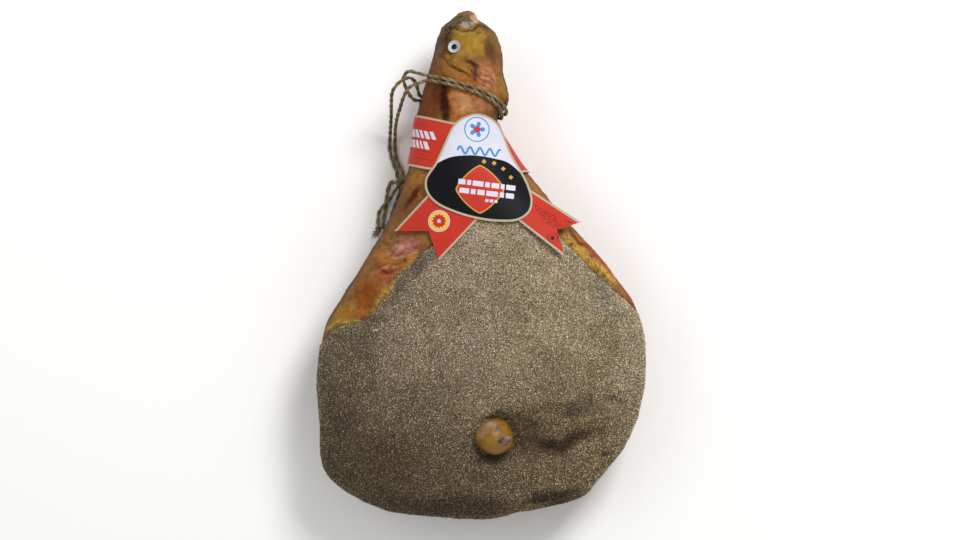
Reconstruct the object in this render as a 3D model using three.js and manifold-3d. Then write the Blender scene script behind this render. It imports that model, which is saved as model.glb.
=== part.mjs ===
// A bone-in cured ham that lies on its rind, with its peppered cut face up and its hock toward +Y.
// Millimetres, +Z up. The origin is on the floor, under the middle of the object.
import * as THREE from 'three';
import { mergeVertices } from 'three/addons/utils/BufferGeometryUtils.js';
import Module from 'manifold-3d';

const wasm = await Module();
wasm.setup();

// ---- driving dimensions -------------------------------------------------------------------------

const legWidth = 330;
const legLength = 508;
const legDepth = 126; // without the ball of the thigh bone
const crustThickness = 2;
const cardThickness = 0.8;
const twineAcross = 3.7;
const clearance = 0.5; // between pieces that touch
const fineClearance = 0.3; // between strands and knots

// The outlines below are drawn for a leg of this size, and stretched to the size above.
const drawn = { width: 330, length: 508, depth: 126 };
const stretchX = legWidth / drawn.width;
const stretchY = legLength / drawn.length;
const stretchZ = legDepth / drawn.depth;

const ringSides = 44;
const squareness = 2.2; // 2 would be an ellipse, more is boxier

// Sections across the leg: y, left, right, top, bottom and the height of the widest level.
// A bottom below zero is flattened by the weight of the ham on the floor.
const sections = [
  [-250.5, -40, 16, 64, 48, 56],
  [-246.5, -83, 32, 73, 38, 56],
  [-240, -106, 66, 83, 29, 56],
  [-230, -127, 98, 92, 20, 56],
  [-217, -145, 111, 101, 11, 56],
  [-202, -155.5, 123, 108, 3, 56],
  [-184, -159.5, 138, 113, -3, 57],
  [-160, -160.5, 150, 118, -7, 57],
  [-133, -161.5, 157.5, 121, -9, 58],
  [-105, -162.5, 161.5, 123, -9, 58],
  [-80, -160.5, 162.5, 124, -8, 59],
  [-57, -155, 158, 124, -7, 60],
  [-35, -141.5, 150, 123.5, -5, 60],
  [-12, -127.5, 133, 122, -2, 61],
  [10, -114, 116, 120.5, 2, 62],
  [30, -101, 98, 118.5, 6, 63],
  [50, -91, 79.5, 116.5, 10, 63],
  [68, -83, 65, 114, 15, 64],
  [84, -77, 51, 112, 19, 65],
  [100, -73, 39, 110, 22, 66],
  [118, -70, 28, 107.5, 26, 66],
  [136, -68, 18, 105, 29, 67],
  [147, -66, 16, 104, 30, 67],
  [156, -63.5, 24, 104, 31, 67],
  [166, -61, 27, 104, 32, 68],
  [179, -57, 24.5, 103, 33, 68],
  [193, -53, 20.5, 101.5, 34, 67],
  [207, -49.5, 20, 99, 35, 66],
  [220, -46.5, 18, 96, 36, 65],
  [231, -43, 13, 91.5, 39, 65],
  [239, -39, 5, 85, 43, 64],
  [245.5, -31, -4, 77, 48, 63],
  [250.5, -25, -7, 71, 54, 63],
];
const buttPole = [-12, -251.5, 56];
const hockPole = [-16, 254, 63];

// The ball of the thigh bone, standing out of the cut face.
const femurHead = { x: 12, y: -169, z: 116, across: 38, along: 34, high: 38 };

// The crust's edge: y, left reach and right reach. 0 is the ridge, 1 the side, 2 the middle of the rind.
const wholeRound = 2;
const crustEdge = [
  [84, 0.5, 0.5],
  [68, 0.2, 0.64],
  [50, -0.08, 0.74],
  [30, -0.33, 0.81],
  [10, -0.53, 0.86],
  [-12, -0.66, 0.89],
  [-35, -0.7, 0.92],
  [-55, -0.74, 0.96],
  [-63, -0.95, 0.98],
  [-80, -1.02, 1.03],
  [-105, -1.1, 1.1],
  [-133, -1.16, 1.15],
  [-160, -1.2, 1.18],
  [-184, -1.25, 1.22],
  [-202, -1.3, 1.27],
  [-217, -1.36, 1.35],
  [-230, -1.46, 1.46],
  [-240, -1.62, 1.62],
  [-246.5, -wholeRound, wholeRound],
  [-250.5, -wholeRound, wholeRound],
];

// The white dished washer on the hock, and the hollow rivet through it.
const rivet = { across: 6, bore: 4.4, rim: 1.1, stands: 0.7 };
const washer = { x: -26.8, y: 215.6, across: 13, thick: 1.2, dish: 1.6 };

// How far the card stands off what lies under it: y, then left, right and top.
const cardGaps = [
  [-8, 6, 22, 3.2],
  [10, 5, 22, 2.9],
  [30, 4, 21, 2.6],
  [50, 3, 16, 2.3],
  [68, 2, 8, 2],
  [84, 1.4, 2.4, 1.6],
  [100, 1.4, 1.6, 1.6],
  [118, 0.7, 0.8, 0.9],
  [136, 0.6, 0.6, 0.6],
  [160, 0.6, 0.6, 0.6],
];
const cardRows = { from: -6, to: 156, step: 9 };
const bell = [
  [-7, 150], [2, 149], [11, 145], [18, 138], [29, 111], [41, 90], [47, 77], [50, 63], [47, 52],
  [36, 44], [18, 42.5], [-4, 45], [-28, 52], [-46, 61], [-55, 72], [-56, 85], [-46, 101],
  [-37, 121], [-26, 141],
];
const leftTail = [[-53, 70], [-87, 33.5], [-52.5, 33.5], [-42.5, 4], [-2, 47]];
const rightTail = [[44, 77], [98, 42.5], [74, 34.5], [81.5, 8], [30, 48]];
const bandTop = [[-90, 154], [-66, 149.5], [-31, 141.5], [-8, 138], [8, 140], [17, 143], [45, 149]];
const bandBottom = [[80, 97], [42, 92], [0, 88], [-54, 94.5], [-74, 99], [-100, 104]];

// The jute twine: the level of its two turns round the shank, by the angle from the right side,
// and the routes of its free stretches. A route's heights are those of the twine's underside.
const turnLevels = [
  [-160, 166], [-120, 162], [-80, 157], [-40, 153], [0, 151], [30, 156], [60, 166.5], [90, 176],
  [120, 182], [150, 185], [180, 187],
];
const mainKnot = {
  x: -83, y: 82.5, z: 0.5 + 1.25 * twineAcross,
  across: 2.8 * twineAcross, along: 3.2 * twineAcross, high: 2.5 * twineAcross,
};
const endKnot = {
  x: -105.5, y: 36.5, z: 0.3 + 0.9 * twineAcross,
  across: 1.9 * twineAcross, along: 2.2 * twineAcross, high: 1.8 * twineAcross,
};
const inMainKnot = [mainKnot.x, mainKnot.y, mainKnot.z - twineAcross / 2];
const inEndKnot = [endKnot.x, endKnot.y, endKnot.z - twineAcross / 2];
const overStrand = twineAcross + 1.4;
const bight = [[-66, 191.5, 80], [-73, 193, 75], [-78.5, 187, 70], [-76, 177, 65], [-69, 166, 60]];
const outerStrand = [
  [-67, 183, 69], [-73.5, 186.5, 77], [-82, 182, 79], [-89, 174, 71], [-91, 163, 56],
  [-91.5, 152, 38], [-92.5, 141, 20], [-93.5, 131, 6], [-94, 120, 0.6], [-91.5, 107, 0.4],
  [-87, 95, 0.4], [-85.6, 88.5, 2], inMainKnot,
];
const innerStrand = [
  [-72, 177, 80], [-78, 168, 71], [-82, 158, 56], [-86, 147, 36], [-88, 136, 16],
  [-88.5, 127, 3.7], [-88.3, 117, 0.5], [-86.2, 105, 0.4], [-81.5, 95, 0.6],
  [-80.6, 88.5, 2], inMainKnot,
];
const loopStrand = [
  inMainKnot, [-93, 84, 0.4], [-96.2, 75, 0.3], [-97.6, 65, 0.3], [-98.6, 55, 0.3],
  [-100.4, 46, 0.3], [-100.4, 39.5, 0.3], [-97.2, 37.6, 0.3], [-93.8, 45, 0.3], [-90, 57, 0.3],
  [-86, 67, 0.3], [-83.2, 75.5, 0.8], inMainKnot,
];
const endStrand = [
  inMainKnot, [-88, 76.5, overStrand - 0.2], [-91.8, 70, overStrand], [-95.6, 64.5, overStrand + 0.3],
  [-100.2, 60, overStrand], [-104.2, 55, overStrand / 2], [-105.6, 48, 0.3], inEndKnot,
];

// ---- the leg's surface --------------------------------------------------------------------------

const levels = new THREE.CubicInterpolant(
  sections.map((row) => row[0]),
  sections.flatMap((row) => row.slice(1)),
  5,
);
const gaps = new THREE.CubicInterpolant(
  cardGaps.map((row) => row[0]),
  cardGaps.flatMap((row) => row.slice(1)),
  3,
);

function stretched([x, y, z = 0]) {
  return new THREE.Vector3(x * stretchX, y * stretchY, z * stretchZ);
}

function signedPower(value, power) {
  return Math.sign(value) * Math.abs(value) ** power;
}

// A point of the section at y. The angle runs from the right side (0) over the top (90 degrees).
function sectionPoint(y, angle, grow = { left: 0, right: 0, top: 0, bottom: 0 }) {
  const [leftDrawn, rightDrawn, ...heights] = levels.evaluate(y / stretchY);
  const [top, bottom, level] = heights.map((height) => height * stretchZ);
  const left = leftDrawn * stretchX;
  const right = rightDrawn * stretchX;
  const halfWidth = (right + grow.right - left + grow.left) / 2;
  const middle = (right + grow.right + left - grow.left) / 2;
  const sine = signedPower(Math.sin(angle), 2 / squareness);
  const height = sine > 0 ? top + grow.top - level : level - bottom + grow.bottom;
  const x = middle + halfWidth * signedPower(Math.cos(angle), 2 / squareness);
  return new THREE.Vector3(x, y, Math.max(level + height * sine, -grow.bottom));
}

// The signed reach of an edge becomes an angle: 0 is the ridge, 1 the side, 2 under the rind.
function reachAngle(reach) {
  const size = Math.abs(reach);
  const fromSide = size <= 1 ? Math.acos(size ** (squareness / 2)) : (-(size - 1) * Math.PI) / 2;
  return reach > 0 ? fromSide : Math.PI - fromSide;
}

function outwardNormal(y, angle) {
  const step = 0.05;
  const along = sectionPoint(y + 1, angle).sub(sectionPoint(y - 1, angle));
  const around = sectionPoint(y, angle + step).sub(sectionPoint(y, angle - step));
  return along.cross(around).normalize();
}

function offsetPoint(y, angle, distance) {
  return sectionPoint(y, angle).addScaledVector(outwardNormal(y, angle), distance);
}

// ---- closed meshes and solids -------------------------------------------------------------------

function closedGeometry(points, triangles) {
  const geometry = new THREE.BufferGeometry().setFromPoints(points);
  geometry.setIndex(triangles);
  return mergeVertices(geometry, 1e-4);
}

// Joins two rows of points with triangles that face out when the rows run anticlockwise.
function stitch(triangles, lower, upper, count) {
  for (let k = 0; k < count; k += 1) {
    triangles.push(lower + k, lower + k + 1, upper + k + 1);
    triangles.push(lower + k, upper + k + 1, upper + k);
  }
}

function toSolid(geometry) {
  const bare = geometry.clone();
  bare.deleteAttribute('normal');
  bare.deleteAttribute('uv');
  const merged = mergeVertices(bare, 1e-4);
  const index = Array.from(merged.index.array);
  const kept = [];
  for (let i = 0; i < index.length; i += 3) {
    const [a, b, c] = index.slice(i, i + 3);
    if (a !== b && b !== c && c !== a) kept.push(a, b, c);
  }
  return new wasm.Manifold(new wasm.Mesh({
    numProp: 3,
    vertProperties: new Float32Array(merged.attributes.position.array),
    triVerts: new Uint32Array(kept),
  }));
}

function toGeometry(solid) {
  const mesh = solid.getMesh();
  const geometry = new THREE.BufferGeometry();
  geometry.setAttribute('position', new THREE.BufferAttribute(mesh.vertProperties, 3));
  geometry.setIndex(new THREE.BufferAttribute(mesh.triVerts, 1));
  return geometry;
}

function legSolid(distance) {
  const points = [];
  const triangles = [];
  const grow = { left: distance, right: distance, top: distance, bottom: distance };
  const rows = [
    poleRow(buttPole, -distance),
    ...sections.map(([y]) => sectionRow(y * stretchY, grow)),
    poleRow(hockPole, distance),
  ];
  rows.forEach((row) => points.push(...row));
  for (let j = 0; j + 1 < rows.length; j += 1) {
    stitch(triangles, (j + 1) * (ringSides + 1), j * (ringSides + 1), ringSides);
  }
  return toSolid(closedGeometry(points, triangles));
}

// The row at the end of the leg, where the section shrinks to a point.
function poleRow(pole, distance) {
  const point = stretched(pole);
  point.y += distance;
  return Array(ringSides + 1).fill(point);
}

function sectionRow(y, grow) {
  return Array.from({ length: ringSides + 1 }, (_, k) => (
    sectionPoint(y, ((k % ringSides) * 2 * Math.PI) / ringSides, grow)
  ));
}

// The ball of the thigh bone or a knot. A knot stays at its own height above the floor.
function ballSolid({ x, y, z, across, along, high }, sides, grow = 0, heightStretch = 1) {
  const ball = new THREE.SphereGeometry(0.5, sides, (sides * 2) / 3);
  ball.scale(across + 2 * grow, along + 2 * grow, high + 2 * grow);
  ball.translate(x * stretchX, y * stretchY, z * heightStretch);
  return toSolid(ball);
}

function femurSolid(grow) {
  return ballSolid(femurHead, 24, grow, stretchZ);
}

// ---- the crust ----------------------------------------------------------------------------------

// One row of the crust: the columns of the ring, held between the two edges.
function crustRow([y, left, right], distance) {
  const first = reachAngle(right);
  const last = reachAngle(left);
  return Array.from({ length: ringSides + 1 }, (_, k) => {
    const angle = ((k - ringSides / 4) * 2 * Math.PI) / ringSides;
    return offsetPoint(y * stretchY, Math.min(Math.max(angle, first), last), distance);
  });
}

// A skin with its inner side buried in the leg, from which the leg is then cut with its clearance.
function crustSolid() {
  const buried = 0.8;
  const columns = ringSides + 1;
  const points = [];
  const triangles = [];
  const rows = (distance) => [
    ...crustEdge.map((row) => crustRow(row, distance)),
    poleRow(buttPole, -distance),
  ];
  const outer = rows(clearance + crustThickness);
  const inner = rows(-buried);
  [...outer, ...inner].forEach((row) => points.push(...row));
  const under = outer.length * columns;
  for (let j = 0; j + 1 < outer.length; j += 1) {
    const near = j * columns;
    const far = near + columns;
    stitch(triangles, near, far, ringSides);
    stitch(triangles, under + far, under + near, ringSides);
    if (crustEdge[j][2] < wholeRound) {
      const last = near + ringSides;
      const farLast = far + ringSides;
      triangles.push(near, far, under + far, near, under + far, under + near);
      triangles.push(last, under + last, under + farLast, last, under + farLast, farLast);
    }
  }
  return toSolid(closedGeometry(points, triangles)).subtract(legSolid(clearance));
}

// ---- the seal -----------------------------------------------------------------------------------

function latheGeometry(profile, sides) {
  const points = [...profile, profile[0]].map(([radius, height]) => new THREE.Vector2(radius, height));
  return new THREE.LatheGeometry(points, sides).rotateX(Math.PI / 2);
}

function washerGeometry() {
  const edge = washer.across / 2;
  const hole = rivet.across / 2 + fineClearance;
  return latheGeometry([
    [hole, 0],
    [edge * 0.8, washer.dish * 0.35],
    [edge, washer.dish],
    [edge - washer.thick * 0.4, washer.dish + washer.thick * 0.7],
    [edge * 0.75, washer.dish * 0.35 + washer.thick],
    [hole, washer.thick],
  ], 32);
}

function rivetGeometry() {
  const hole = rivet.bore / 2;
  const outside = rivet.across / 2;
  const seat = washer.thick + washer.dish * 0.35 + fineClearance;
  return latheGeometry([
    [hole, 0.1],
    [outside, 0.1],
    [outside, seat],
    [outside + rivet.rim, seat],
    [outside + rivet.rim * 0.6, seat + rivet.stands],
    [hole + rivet.rim * 0.4, seat + rivet.stands],
    [hole, seat],
  ], 24);
}

// Puts a piece that stands along its own Z on the leg's upper surface at x, y.
function placeOnSkin(mesh, xDrawn, yDrawn, gap) {
  const x = xDrawn * stretchX;
  const y = yDrawn * stretchY;
  let low = 0;
  let high = Math.PI;
  for (let i = 0; i < 40; i += 1) {
    const middle = (low + high) / 2;
    if (sectionPoint(y, middle).x > x) low = middle;
    else high = middle;
  }
  const normal = outwardNormal(y, low);
  mesh.position.copy(sectionPoint(y, low)).addScaledVector(normal, gap);
  mesh.quaternion.setFromUnitVectors(new THREE.Vector3(0, 0, 1), normal);
}

// ---- the label ----------------------------------------------------------------------------------

// The card's ring at y, over the crust where there is one.
function cardRing(y, extra) {
  const crustStart = crustEdge[0][0];
  const overCrust = 1 - THREE.MathUtils.smoothstep(y, crustStart, crustStart + cardRows.step * 2);
  const lift = extra + overCrust * crustThickness;
  const [left, right, top] = gaps.evaluate(y).map((gap) => gap + lift);
  return sectionRow(y * stretchY, { left, right, top, bottom: clearance + lift });
}

function cardTube() {
  const points = [];
  const triangles = [];
  const rowsY = [];
  for (let y = cardRows.from; y <= cardRows.to; y += cardRows.step) rowsY.push(y);
  const columns = ringSides + 1;
  rowsY.forEach((y) => points.push(...cardRing(y, cardThickness)));
  rowsY.forEach((y) => points.push(...cardRing(y, 0)));
  const under = rowsY.length * columns;
  for (let j = 0; j + 1 < rowsY.length; j += 1) {
    const near = j * columns;
    stitch(triangles, near + columns, near, ringSides);
    stitch(triangles, under + near, under + near + columns, ringSides);
  }
  const last = under - columns;
  stitch(triangles, 0, under, ringSides);
  stitch(triangles, under + last, last, ringSides);
  return toSolid(closedGeometry(points, triangles));
}

function prism(outline, from, to, smooth = false) {
  const corners = outline.map(([x, y]) => new THREE.Vector2(x * stretchX, y * stretchY));
  const shape = smooth
    ? new THREE.Shape(new THREE.SplineCurve([...corners, corners[0]]).getPoints(outline.length * 3))
    : new THREE.Shape(corners);
  const body = new THREE.ExtrudeGeometry(shape, { depth: to - from, bevelEnabled: false });
  body.translate(0, 0, from);
  return toSolid(body);
}

function labelSolid() {
  const above = 66 * stretchZ;
  const ceiling = 150 * stretchZ;
  const front = prism(bell, above, ceiling, true)
    .add(prism(leftTail, above, ceiling))
    .add(prism(rightTail, above, ceiling));
  const band = prism([...bandTop, ...bandBottom], -10, ceiling);
  return cardTube().intersect(front.add(band));
}

// ---- the twine ----------------------------------------------------------------------------------

const turnLevel = new THREE.CubicInterpolant(
  turnLevels.map(([degrees]) => degrees),
  turnLevels.map(([, y]) => y),
  1,
);

// One turn, from the left side under the shank to the right and back over the top.
function turnPoints(shift, lastDegrees) {
  const points = [];
  const stand = twineAcross / 2 + clearance + 0.6;
  for (let degrees = turnLevels[0][0]; degrees <= lastDegrees; degrees += 15) {
    const y = turnLevel.evaluate(degrees)[0] * stretchY + shift;
    points.push(offsetPoint(y, THREE.MathUtils.degToRad(degrees), stand));
  }
  return points;
}

// A route follows the leg's width and length, and keeps its own heights.
function route(points) {
  return points.map(([x, y, z]) => (
    new THREE.Vector3(x * stretchX, y * stretchY, z + twineAcross / 2)
  ));
}

function tube(points, steps) {
  const section = new THREE.Shape();
  section.absarc(0, 0, twineAcross / 2, 0, Math.PI * 2);
  return new THREE.ExtrudeGeometry(section, {
    steps,
    curveSegments: 4,
    bevelEnabled: false,
    extrudePath: new THREE.CatmullRomCurve3(points, false, 'centripetal'),
  });
}

function wrapPoints() {
  const shift = (twineAcross + clearance) / 2;
  return [...turnPoints(shift, 165), ...route(bight), ...turnPoints(-shift, 150)];
}

// Two points just past the end of a run, on the line of its last two points.
function leadOut(end, before) {
  const onward = end.clone().sub(before).normalize();
  return [fineClearance, fineClearance + twineAcross].map((distance) => (
    end.clone().addScaledVector(onward, distance)
  ));
}

// A free strand, cut back to its clearance from the knots that it runs into.
function strandGeometry(points, steps, ...knots) {
  return toGeometry(knots.reduce(
    (solid, knot) => solid.subtract(knotSolid(knot, fineClearance)),
    toSolid(tube(points, steps)),
  ));
}

function knotSolid(knot, grow) {
  return ballSolid(knot, 12, grow);
}

// ---- assembly -----------------------------------------------------------------------------------

const object = new THREE.Group();

function addPiece(name, geometry, colour, roughness) {
  const material = new THREE.MeshStandardMaterial({ color: colour, roughness, metalness: 0 });
  const mesh = new THREE.Mesh(geometry, material);
  mesh.name = name;
  object.add(mesh);
  return mesh;
}

const jute = { colour: 0x9c8459, roughness: 0.85 };

function addTwine(name, geometry) {
  addPiece(name, geometry, jute.colour, jute.roughness);
}

addPiece('ham', toGeometry(legSolid(0).add(femurSolid(0))), 0xa8672c, 0.45);
const crust = crustSolid().subtract(femurSolid(2 * clearance));
addPiece('pepper_crust', toGeometry(crust), 0x7d6c50, 0.9);

const washerMesh = addPiece('seal_washer', washerGeometry(), 0xe6e6e2, 0.35);
const rivetMesh = addPiece('seal_rivet', rivetGeometry(), 0x1c1a18, 0.4);
placeOnSkin(washerMesh, washer.x, washer.y, clearance);
placeOnSkin(rivetMesh, washer.x, washer.y, clearance);

addPiece('label_collar', toGeometry(labelSolid()), 0xc23a2c, 0.4);

const wrap = wrapPoints();
const outerPath = [...leadOut(wrap[0], wrap[1]), ...route(outerStrand)];
const innerPath = [...leadOut(wrap.at(-1), wrap.at(-2)), ...route(innerStrand)];
addTwine('twine_wrap', tube(wrap, 72));
addTwine('twine_outer', strandGeometry(outerPath, 26, mainKnot));
addTwine('twine_inner', strandGeometry(innerPath, 22, mainKnot));
addTwine('twine_knot', toGeometry(knotSolid(mainKnot, 0)));
addTwine('twine_loop', strandGeometry(route(loopStrand), 24, mainKnot));
addTwine('twine_end', strandGeometry(route(endStrand), 14, mainKnot, endKnot));
addTwine('twine_end_knot', toGeometry(knotSolid(endKnot, 0)));

export default object;
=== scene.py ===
import itertools
import bmesh
import bpy
import numpy as np
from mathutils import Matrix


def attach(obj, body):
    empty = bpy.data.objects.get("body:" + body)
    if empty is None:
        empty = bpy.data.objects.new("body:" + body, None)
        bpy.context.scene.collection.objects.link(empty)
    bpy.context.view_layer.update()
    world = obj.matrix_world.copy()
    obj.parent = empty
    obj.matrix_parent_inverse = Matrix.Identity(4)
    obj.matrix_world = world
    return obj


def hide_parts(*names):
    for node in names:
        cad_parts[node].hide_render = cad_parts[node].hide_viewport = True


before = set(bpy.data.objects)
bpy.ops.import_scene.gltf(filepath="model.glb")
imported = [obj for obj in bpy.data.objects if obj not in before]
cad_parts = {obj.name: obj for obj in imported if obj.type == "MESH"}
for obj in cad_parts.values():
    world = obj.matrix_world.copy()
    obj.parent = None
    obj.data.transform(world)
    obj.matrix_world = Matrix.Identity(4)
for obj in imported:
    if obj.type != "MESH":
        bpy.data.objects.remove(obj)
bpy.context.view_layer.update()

# A bone-in cured ham lying on its rind, peppered cut face up and hock toward +Y.
# Lengths are in millimetres, and makePiece turns them into the metres of the frame.

scene = bpy.context.scene
scene.view_settings.view_transform = "Standard"  # keeps the inks and the skin in their true colours
dice = np.random.default_rng(41)


# Camera, floor and light

studio = {
    "aim": (-2, -5), "height": 3500, "sensor": 36, "span": 960, "spanLevel": 65,
    "floorSize": 9000, "floorTone": "#fdfdfc", "skyStrength": 0.46,
}

lens = bpy.data.cameras.new("overheadCamera")
lens.sensor_width = studio["sensor"]
lens.lens = studio["sensor"] * (studio["height"] - studio["spanLevel"]) / studio["span"]
lens.clip_end = 20
camera = bpy.data.objects.new("overheadCamera", lens)
camera.location = (studio["aim"][0] / 1000, studio["aim"][1] / 1000, studio["height"] / 1000)
scene.collection.objects.link(camera)
scene.camera = camera

# name, place, aim, width, watts, colour
softboxes = [
    ("keySoftbox", (0.85, 1.35, 1.8), (0, 0.02, 0.05), 0.8, 40, (1, 0.992, 0.98)),
    ("fillSoftbox", (-1.5, 0.3, 1.7), (0, 0, 0.05), 1.4, 8, (0.96, 0.98, 1)),
    ("rimSoftbox", (0.4, -1.9, 1.5), (0, 0, 0.05), 1.2, 4, (1, 1, 1)),
]


def addSoftbox(name, place, aim, width, watts, colour):
    # A square light at its place, tipped and turned until it faces its aim.
    light = bpy.data.lights.new(name, "AREA")
    light.size = width
    light.energy = watts
    light.color = colour
    piece = bpy.data.objects.new(name, light)
    way = np.array(place) - np.array(aim)
    piece.location = place
    piece.rotation_euler = (np.arctan2(np.hypot(way[0], way[1]), way[2]), 0, np.arctan2(way[0], -way[1]))
    scene.collection.objects.link(piece)


for row in softboxes:
    addSoftbox(*row)
print("camera and lights are up")


# Mesh and number helpers

def signedPower(value, power):  # the power of the size, with the sign kept
    return np.sign(value) * np.abs(value) ** power


def blend(value, low, high):  # 0 below low, 1 above high, smooth between
    part = np.clip((value - low) / (high - low), 0, 1)
    return part * part * (3 - 2 * part)


def unit(vectors):  # each vector over its own length
    return vectors / np.maximum(np.linalg.norm(vectors, axis=-1, keepdims=True), 1e-9)


def lattice(points, size, seed):
    # Random heights from -1 to 1 on the corners of cubes of that size, smoothly blended inside each cube.
    scaled = points / size
    cell = np.floor(scaled).astype(np.int64)
    part = scaled - cell
    part = part * part * (3 - 2 * part)
    total = np.zeros(points.shape[:-1])
    for corner in itertools.product((0, 1), repeat=3):
        at = cell + np.array(corner)
        mixed = (at[..., 0] * 73856093) ^ (at[..., 1] * 19349663) ^ (at[..., 2] * 83492791)
        mixed = mixed ^ (seed * 1299709)
        mixed = ((mixed & 0xFFFFFFFF) * 1274126177) & 0xFFFFFFFF
        mixed = ((mixed ^ (mixed >> 15)) * 668265263) & 0xFFFFFFFF
        share = np.prod(np.where(np.array(corner) == 1, part, 1 - part), axis=-1)
        total += share * (((mixed >> 12) & 0xFFFF) / 32767.5 - 1)
    return total


def smoothRows(table, at):
    # Each column is a cubic between the rows, with its slope at a row from the parabola through three rows.
    table = np.asarray(table, float)
    knots, values = table[:, 0], table[:, 1:]
    slopes = np.gradient(values, knots, axis=0)
    at = np.clip(at, knots[0], knots[-1])
    i = np.clip(np.searchsorted(knots, at, "right") - 1, 0, len(knots) - 2)
    gap = (knots[i + 1] - knots[i])[..., None]
    t = (at - knots[i])[..., None] / gap
    rise = values[i + 1] - values[i]
    first, second = slopes[i] * gap, slopes[i + 1] * gap
    return values[i] + t * (first + t * (3 * rise - 2 * first - second + t * (first + second - 2 * rise)))


def smoothPath(points, steps, closed=False):
    # Centripetal Catmull-Rom: between two points the curve is a cubic whose end slopes come from the
    # neighbours, weighted by the square root of the distances.
    points = np.asarray(points, float)
    if closed:
        padded = np.concatenate([points[-1:], points, points[:2]])
    else:
        padded = np.concatenate([[2 * points[0] - points[1]], points, [2 * points[-1] - points[-2]]])
    a, b, c, d = padded[:-3], padded[1:-2], padded[2:-1], padded[3:]
    ab, bc, cd = [np.sqrt(np.linalg.norm(q - p, axis=1))[:, None] for p, q in ((a, b), (b, c), (c, d))]
    slopeB = ((b - a) / ab - (c - a) / (ab + bc) + (c - b) / bc) * bc
    slopeC = ((c - b) / bc - (d - b) / (bc + cd) + (d - c) / cd) * bc
    t = (np.arange(24) / 24)[None, :, None]
    b, c, slopeB, slopeC = b[:, None], c[:, None], slopeB[:, None], slopeC[:, None]
    line = b + t * (slopeB + t * (3 * (c - b) - 2 * slopeB - slopeC + t * (slopeB + slopeC - 2 * (c - b))))
    line = line.reshape(-1, points.shape[1])
    line = np.concatenate([line, line[:1] if closed else points[-1:]])
    run = np.concatenate([[0], np.cumsum(np.linalg.norm(np.diff(line, axis=0), axis=1))])
    count = steps if closed else max(int(round(run[-1] / steps)), 4)
    even = np.linspace(0, run[-1], count + 1)
    line = np.stack([np.interp(even, run, column) for column in line.T], axis=1)
    return line[:-1] if closed else line


def pathLength(path):  # the sum of the distances from point to point
    return float(np.linalg.norm(np.diff(path, axis=0), axis=1).sum())


def gridFaces(rows, columns, wrap=False, flip=False, start=0):
    # Quads between neighbouring rows and columns, the last column joined to the first if it wraps.
    j = np.arange(rows - 1)[:, None] * columns
    k = np.arange(columns if wrap else columns - 1)[None, :]
    near, beside = j + k, j + (k + 1) % columns
    order = (near, near + columns, beside + columns, beside) if flip else \
        (near, beside, beside + columns, near + columns)
    return np.stack(order, axis=-1).reshape(-1, 4) + start


def gridNormals(points, wrap):
    # The cross product of the steps along and around; a row that is a point borrows its neighbour's.
    along = np.gradient(points, axis=0)
    if wrap:
        around = np.roll(points, -1, axis=1) - np.roll(points, 1, axis=1)
    else:
        around = np.gradient(points, axis=1)
    normals = np.cross(along, around)
    flat = np.linalg.norm(normals, axis=-1).max(axis=1) < 1e-6
    normals = unit(normals)
    for row in np.flatnonzero(flat):
        normals[row] = unit(normals[1 if row == 0 else row - 1].mean(axis=0))
    return normals


def makePiece(name, points, faces, material, slot, fields=None, weld=False):
    # Puts arrays of points and faces into a mesh with the given material; where a slot is given, the mesh
    # rides on the root body.
    mesh = bpy.data.meshes.new(name)
    points = np.asarray(points, float).reshape(-1, 3) / 1000
    faces = [face for face in faces if len(face)]
    corners = np.concatenate([face.ravel() for face in faces]).astype(np.int32)
    sizes = np.concatenate([np.full(len(face), face.shape[1]) for face in faces])
    starts = np.concatenate([[0], np.cumsum(sizes)[:-1]]).astype(np.int32)
    mesh.vertices.add(len(points))
    mesh.vertices.foreach_set("co", points.ravel().astype(np.float32))
    mesh.loops.add(len(corners))
    mesh.loops.foreach_set("vertex_index", corners)
    mesh.polygons.add(len(sizes))
    mesh.polygons.foreach_set("loop_start", starts)
    for key, values in (fields or {}).items():
        values = np.asarray(values, float).reshape(len(points), -1)
        kinds = {1: ("FLOAT", "value"), 3: ("FLOAT_VECTOR", "vector"), 4: ("FLOAT_COLOR", "color")}
        kind, part = kinds[values.shape[1]]
        mesh.attributes.new(key, kind, "POINT").data.foreach_set(part, values.ravel().astype(np.float32))
    mesh.update(calc_edges=True)
    mesh.validate()
    if weld:
        work = bmesh.new()
        work.from_mesh(mesh)
        bmesh.ops.remove_doubles(work, verts=work.verts, dist=2e-6)
        bmesh.ops.dissolve_degenerate(work, edges=work.edges, dist=1e-7)
        work.to_mesh(mesh)
        work.free()
    mesh.shade_smooth()
    mesh.materials.append(material)
    piece = bpy.data.objects.new(name, mesh)
    scene.collection.objects.link(piece)
    if slot:
        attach(piece, "root")
    return piece


# Material helpers

def inkColour(code):  # sRGB hex to linear light
    value = np.array([int(code[i:i + 2], 16) for i in (1, 3, 5)]) / 255
    linear = np.where(value <= 0.04045, value / 12.92, ((value + 0.055) / 1.055) ** 2.4)
    return (*[float(part) for part in linear], 1.0)


def addNode(tree, kind, inputs=None, **settings):
    # Adds a node with its settings, and gives each input a value or a link.
    node = tree.nodes.new("ShaderNode" + kind)
    for key, value in settings.items():
        setattr(node, key, value)
    for key, value in (inputs or {}).items():
        if isinstance(value, bpy.types.NodeSocket):
            tree.links.new(value, node.inputs[key])
        else:
            node.inputs[key].default_value = value
    return node


def startMaterial(name, **constants):
    # A Principled shader with these constants; gives the places on the piece for its textures.
    material = bpy.data.materials.new(name)
    material.use_nodes = True
    tree = material.node_tree
    tree.nodes.clear()
    shader = addNode(tree, "BsdfPrincipled", constants)
    addNode(tree, "OutputMaterial", {"Surface": shader.outputs[0]})
    return material, tree, shader.inputs, addNode(tree, "TexCoord").outputs["Object"]


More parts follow.
